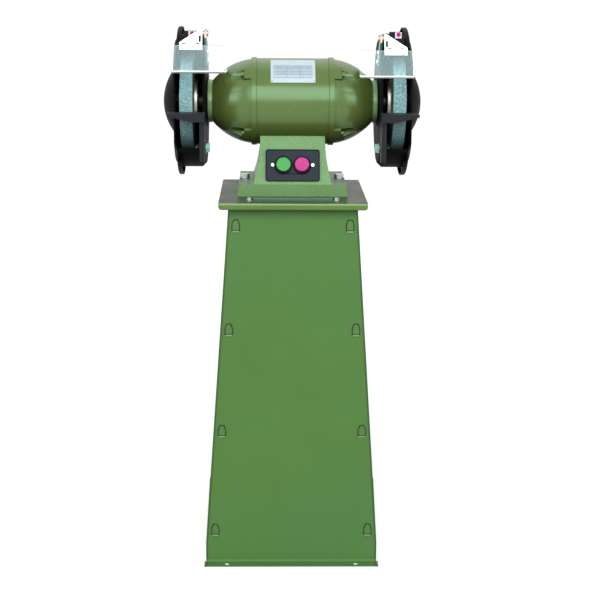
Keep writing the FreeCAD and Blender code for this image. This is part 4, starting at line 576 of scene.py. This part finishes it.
def plate_face(name):
    """Bare data plate wrapped on the housing: pale enamel with ruled empty rows, tinted bands and four rivets."""
    f = Finish(name)
    band_blue = linear((124, 158, 176))
    rule_blue = linear((70, 104, 132))
    rivet_grey = linear((92, 98, 102))
    cloud = f.noise(scale=50.0, detail=4.0)
    tone = f.mix(cloud, linear((218, 234, 240)), linear((206, 223, 231)))
    ahead = f.math("SUBTRACT", SHAFT_Y, f.axis("Y"))
    above = f.math("SUBTRACT", f.axis("Z"), SHAFT_Z)
    turn = f.math("ARCTAN2", ahead, above)
    across = f.axis("X")
    rows = [math.radians(row) for row in PLATE_ROWS]
    body = f.between(turn, rows[0], rows[-1], soft=RULE_SOFT_ANGLE)
    inside = f.between(across, PLATE_COLUMNS[0], PLATE_COLUMNS[-1])
    lines = [f.between(turn, row - RULE_HALF_ANGLE, row + RULE_HALF_ANGLE, soft=RULE_SOFT_ANGLE) for row in rows]
    lines += [f.math("MULTIPLY", body, f.between(across, column - RULE_HALF, column + RULE_HALF))
              for column in PLATE_COLUMNS]
    rules = lines[0]
    for line in lines[1:]:
        rules = f.math("MAXIMUM", rules, line)
    rules = f.math("MULTIPLY", rules, inside)
    smudged = f.ramp(f.noise(scale=220.0, detail=4.0, rough=0.6, stretch=(1.0, 0.3, 0.3)), 0.35, 0.65, 0.3, 0.7)
    for low, high, share in PLATE_BANDS:
        band = f.between(turn, math.radians(low), math.radians(high), soft=BAND_SOFT_ANGLE)
        amount = f.math("MULTIPLY", f.math("MULTIPLY", inside, band), f.math("MULTIPLY", smudged, share))
        tone = f.mix(amount, tone, band_blue)
    tone = f.mix(f.math("MULTIPLY", rules, 0.9), tone, rule_blue)
    sideways = f.math("SUBTRACT", f.math("ABSOLUTE", across), RIVET_X)
    for row in RIVET_ROWS:
        along = f.math("MULTIPLY", f.math("SUBTRACT", turn, math.radians(row)), PLATE_RADIUS)
        rivet = f.step(f.distance(sideways, along), RIVET_RADIUS, SHARP, 1.0, 0.0)
        tone = f.mix(rivet, tone, rivet_grey)
    normal = f.bump(cloud, 0.00002, f.rounded_normal(0.0003))
    return f.set(Base_Color=tone, Roughness=f.ramp(cloud, *EVEN, 0.3, 0.4), Normal=normal,
                 Specular_IOR_Level=0.2).material


# ---------------------------------------------------------------- dressing the nodes

def dress():
    """One finish for each node, by the part it plays."""
    sheet = dict(colour=(86, 132, 62), shift=0.05, rough=0.42, speckle=0.05, wear=0.2)
    # Shell paint for the motor and its bells, with painted shade on its undersides.
    shell = dict(colour=(98, 117, 57), shift=0.05, rough=0.22, specular=0.78, speckle=0.06, wear=0.2,
                 edge=0.0015, cast=0.00006, cast_scale=150.0, tint=TEAL, underside_shade=0.7)
    # The top colours below are partly painted light: a painted grey reflection on the tray's top, painted shade on the
    # casting's pads, and dust with painted shade on the column's foot flange.
    green = paint("column_green", **sheet, top_dust_and_light_colour=(58, 84, 47), top_dust_and_light_share=0.8, marks=panel_marks)
    sides = paint("side_green", **sheet, marks=hook_marks)
    tray = paint("tray_green", (106, 140, 70), shift=0.06, rough=0.4, specular=0.18, speckle=0.08, edge=0.0014,
                 top_dust_and_light_colour=(60, 69, 62), top_dust_and_light_share=0.9, marks=tray_marks)
    machine = paint("machine_green", **shell)
    casting = paint("casting_green", (115, 153, 98), shift=0.07, specular=0.5, speckle=0.3, edge=0.002,
                    cast=0.0002, cast_scale=190.0, tint=TEAL, top_dust_and_light_colour=(84, 96, 80), top_dust_and_light_share=0.92)
    bells = paint("bell_green", **shell, marks=neck_marks)
    inner = paint("inner_black", (11, 12, 12), shift=0.15, rough=0.6, specular=0.04, wear=0.1,
                  wear_colour=(50, 52, 54), edge=0.001, cast=0.0001)
    black = paint("guard_black", (11, 12, 13), shift=0.15, rough=0.52, specular=0.06, wear=0.1,
                  wear_colour=(70, 72, 74), edge=0.001, cast=0.0001)
    rest = paint("rest_black", (38, 42, 45), shift=0.15, rough=0.45, specular=0.15,
                 wear_colour=(100, 102, 102), edge=0.0012, cast=0.00015)
    zinc = metal("zinc", (196, 214, 208), rough=0.34, spots=0.25, tarnish=(120, 128, 122))
    dull = metal("dull_zinc", (196, 208, 200), rough=0.32, spots=0.4, tarnish=(70, 78, 70))
    clamp = metal("clamp_zinc", (146, 194, 178), rough=0.32, spots=0.6, tarnish=(44, 78, 70))
    strip = metal("strip_zinc", (104, 142, 118), spots=0.3)
    black_oxide = metal("black_oxide", (52, 52, 54), rough=0.4)
    steel = metal("steel", (200, 202, 204), rough=0.22, brushed=(1.0, 0.1, 0.1))
    core = metal("core_steel", (120, 122, 124), rough=0.45, brushed=(6.0, 0.3, 0.3))
    copper = metal("copper", (222, 158, 130), rough=0.35)
    can = metal("can", (200, 202, 204), rough=0.35)
    black_plastic = plastic("black_plastic", (24, 24, 26), rough=0.45)
    finishes = {
        "front_panel": green, "rear_panel": green, "left_side_panel": sides, "right_side_panel": sides,
        "top_plate": tray, "plate_strip": strip, "base_casting": casting, "motor_housing": machine,
        "switch_plate": switch_face("switch_plastic"), "switch_block": black_plastic, "cable_gland": black_plastic,
        "start_button": plastic("start_green", (60, 176, 72), rough=0.3, specular=0.3),
        "stop_button": plastic("stop_red", (206, 34, 146), rough=0.3, specular=0.3),
        "tie_bolts": machine, "base_bolts": dull, "rest_bolts": clamp, "rest_nuts": black_oxide,
        "shield_pivots": copper, "shaft": steel, "rotor": core,
        "stator_core": core, "stator_windings": windings("winding_copper"), "capacitor": can,
        "name_plate": plate_face("data_plate"),
    }
    turned = turned_flange("turned_metal")
    bracket = metal("bracket_zinc", (226, 238, 234), rough=0.4, tarnish=(170, 186, 180))
    grit = abrasive("grit")
    paper = card("blotter_card")
    for side, label in (("left", LEFT_LABEL), ("right", RIGHT_LABEL)):
        finishes.update({
            side + "_end_bell": bells, side + "_inner_guard": inner, side + "_outer_cover": black,
            side + "_tool_rest": rest, side + "_bearing": steel,
            side + "_inner_flange": turned, side + "_outer_flange": turned,
            side + "_spindle_nut": black_oxide, side + "_wheel": grit, side + "_blotters": paper,
            side + "_eye_shield": clear_sheet(side + "_clear_sheet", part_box(side + "_eye_shield")[0][2]),
            side + "_shield_bracket": bracket,
            side + "_spark_arrester": labelled_plate(side + "_arrester_black", *label),
        })
    for name, thing in nodes.items():
        finish = finishes.get(name, zinc)
        for slot in thing.material_slots:
            slot.material = finish
        if not thing.material_slots:
            thing.data.materials.append(finish)


# ---------------------------------------------------------------- floor, light and backdrop

def area_light(name, place, aim, width, height, watts):
    """A soft rectangular box at a place, turned toward its aim."""
    data = bpy.data.lights.new(name, "AREA")
    data.shape = "RECTANGLE"
    data.size = width
    data.size_y = height
    data.energy = watts
    light = bpy.data.objects.new(name, data)
    light.location = place
    light.rotation_mode = "QUATERNION"
    light.rotation_quaternion = (Vector(aim) - Vector(place)).to_track_quat("-Z", "Y")
    scene.collection.objects.link(light)
    return light


def seen_share(tree):
    """1 for what the camera sees straight, mirrored or through glass; 0 for light that spreads."""
    path = tree.nodes.new("ShaderNodeLightPath")
    share = path.outputs["Is Camera Ray"]
    for name in ("Is Glossy Ray", "Is Transmission Ray"):
        largest = tree.nodes.new("ShaderNodeMath")
        largest.operation = "MAXIMUM"
        tree.links.new(share, largest.inputs[0])
        tree.links.new(path.outputs[name], largest.inputs[1])
        share = largest.outputs["Value"]
    return share


def make_world():
    """Soft light all round, and plain white where it is seen."""
    world = bpy.data.worlds.new("studio")
    scene.world = world
    world.use_nodes = True
    tree = world.node_tree
    tree.nodes.clear()
    output = tree.nodes.new("ShaderNodeOutputWorld")
    blend = tree.nodes.new("ShaderNodeMixShader")
    tree.links.new(seen_share(tree), blend.inputs[0])
    for socket, strength in ((1, WORLD_LIGHT), (2, 1.0)):
        background = tree.nodes.new("ShaderNodeBackground")
        background.inputs["Color"].default_value = WHITE
        background.inputs["Strength"].default_value = strength
        tree.links.new(background.outputs["Background"], blend.inputs[socket])
    tree.links.new(blend.outputs["Shader"], output.inputs["Surface"])


def make_floor():
    """A pale floor that reads as white where it is lit, and keeps the shadow of the object."""
    mesh = bpy.data.meshes.new("floor")
    reach = FLOOR_REACH
    corners = [(-reach, -reach, 0.0), (reach, -reach, 0.0), (reach, reach, 0.0), (-reach, reach, 0.0)]
    mesh.from_pydata(corners, [], [(0, 1, 2, 3)])
    floor = bpy.data.objects.new("floor", mesh)
    scene.collection.objects.link(floor)
    f = Finish("floor_white")
    f.set(Base_Color=FLOOR_COLOUR, Roughness=0.9, Specular_IOR_Level=0.0)
    lift = f.add("ShaderNodeEmission")
    lift.inputs["Color"].default_value = WHITE
    away = f.add("ShaderNodeVectorMath", operation="LENGTH")
    f.link(f.coords, away.inputs[0])
    level = f.ramp(away.outputs["Value"], FLOOR_NEAR[0], FLOOR_FAR[0], FLOOR_NEAR[1], FLOOR_FAR[1])
    f.put(lift.inputs["Strength"], f.math("MULTIPLY", seen_share(f.tree), level))
    both = f.add("ShaderNodeAddShader")
    f.link(f.shader.outputs["BSDF"], both.inputs[0])
    f.link(lift.outputs["Emission"], both.inputs[1])
    f.link(both.outputs["Shader"], f.output.inputs["Surface"])
    mesh.materials.append(f.material)


def make_lights():
    """Soft boxes in front, at each side, above and behind."""
    area_light("front_box", place=(0.0, -2.67, 2.27), aim=(0.0, 0.0, 0.914), width=2.2, height=1.9, watts=51.0)
    area_light("left_box", place=(-2.5, -1.7, 2.0), aim=(0.0, 0.0, 0.9), width=1.6, height=1.9, watts=30.0)
    area_light("right_box", place=(2.5, -1.7, 2.0), aim=(0.0, 0.0, 0.9), width=1.6, height=1.9, watts=33.0)
    area_light("top_box", place=(0.0, 1.5, 3.2), aim=(0.0, 0.0, 0.9), width=4.4, height=2.2, watts=16.0)
    back = area_light("back_box", place=(0.0, 3.2, 1.5), aim=(0.0, 0.0, 0.6), width=3.0, height=2.0, watts=20.0)
    back.visible_glossy = False


make_camera()
make_world()
make_floor()
make_lights()
dress()
scene.view_settings.view_transform = "Standard"
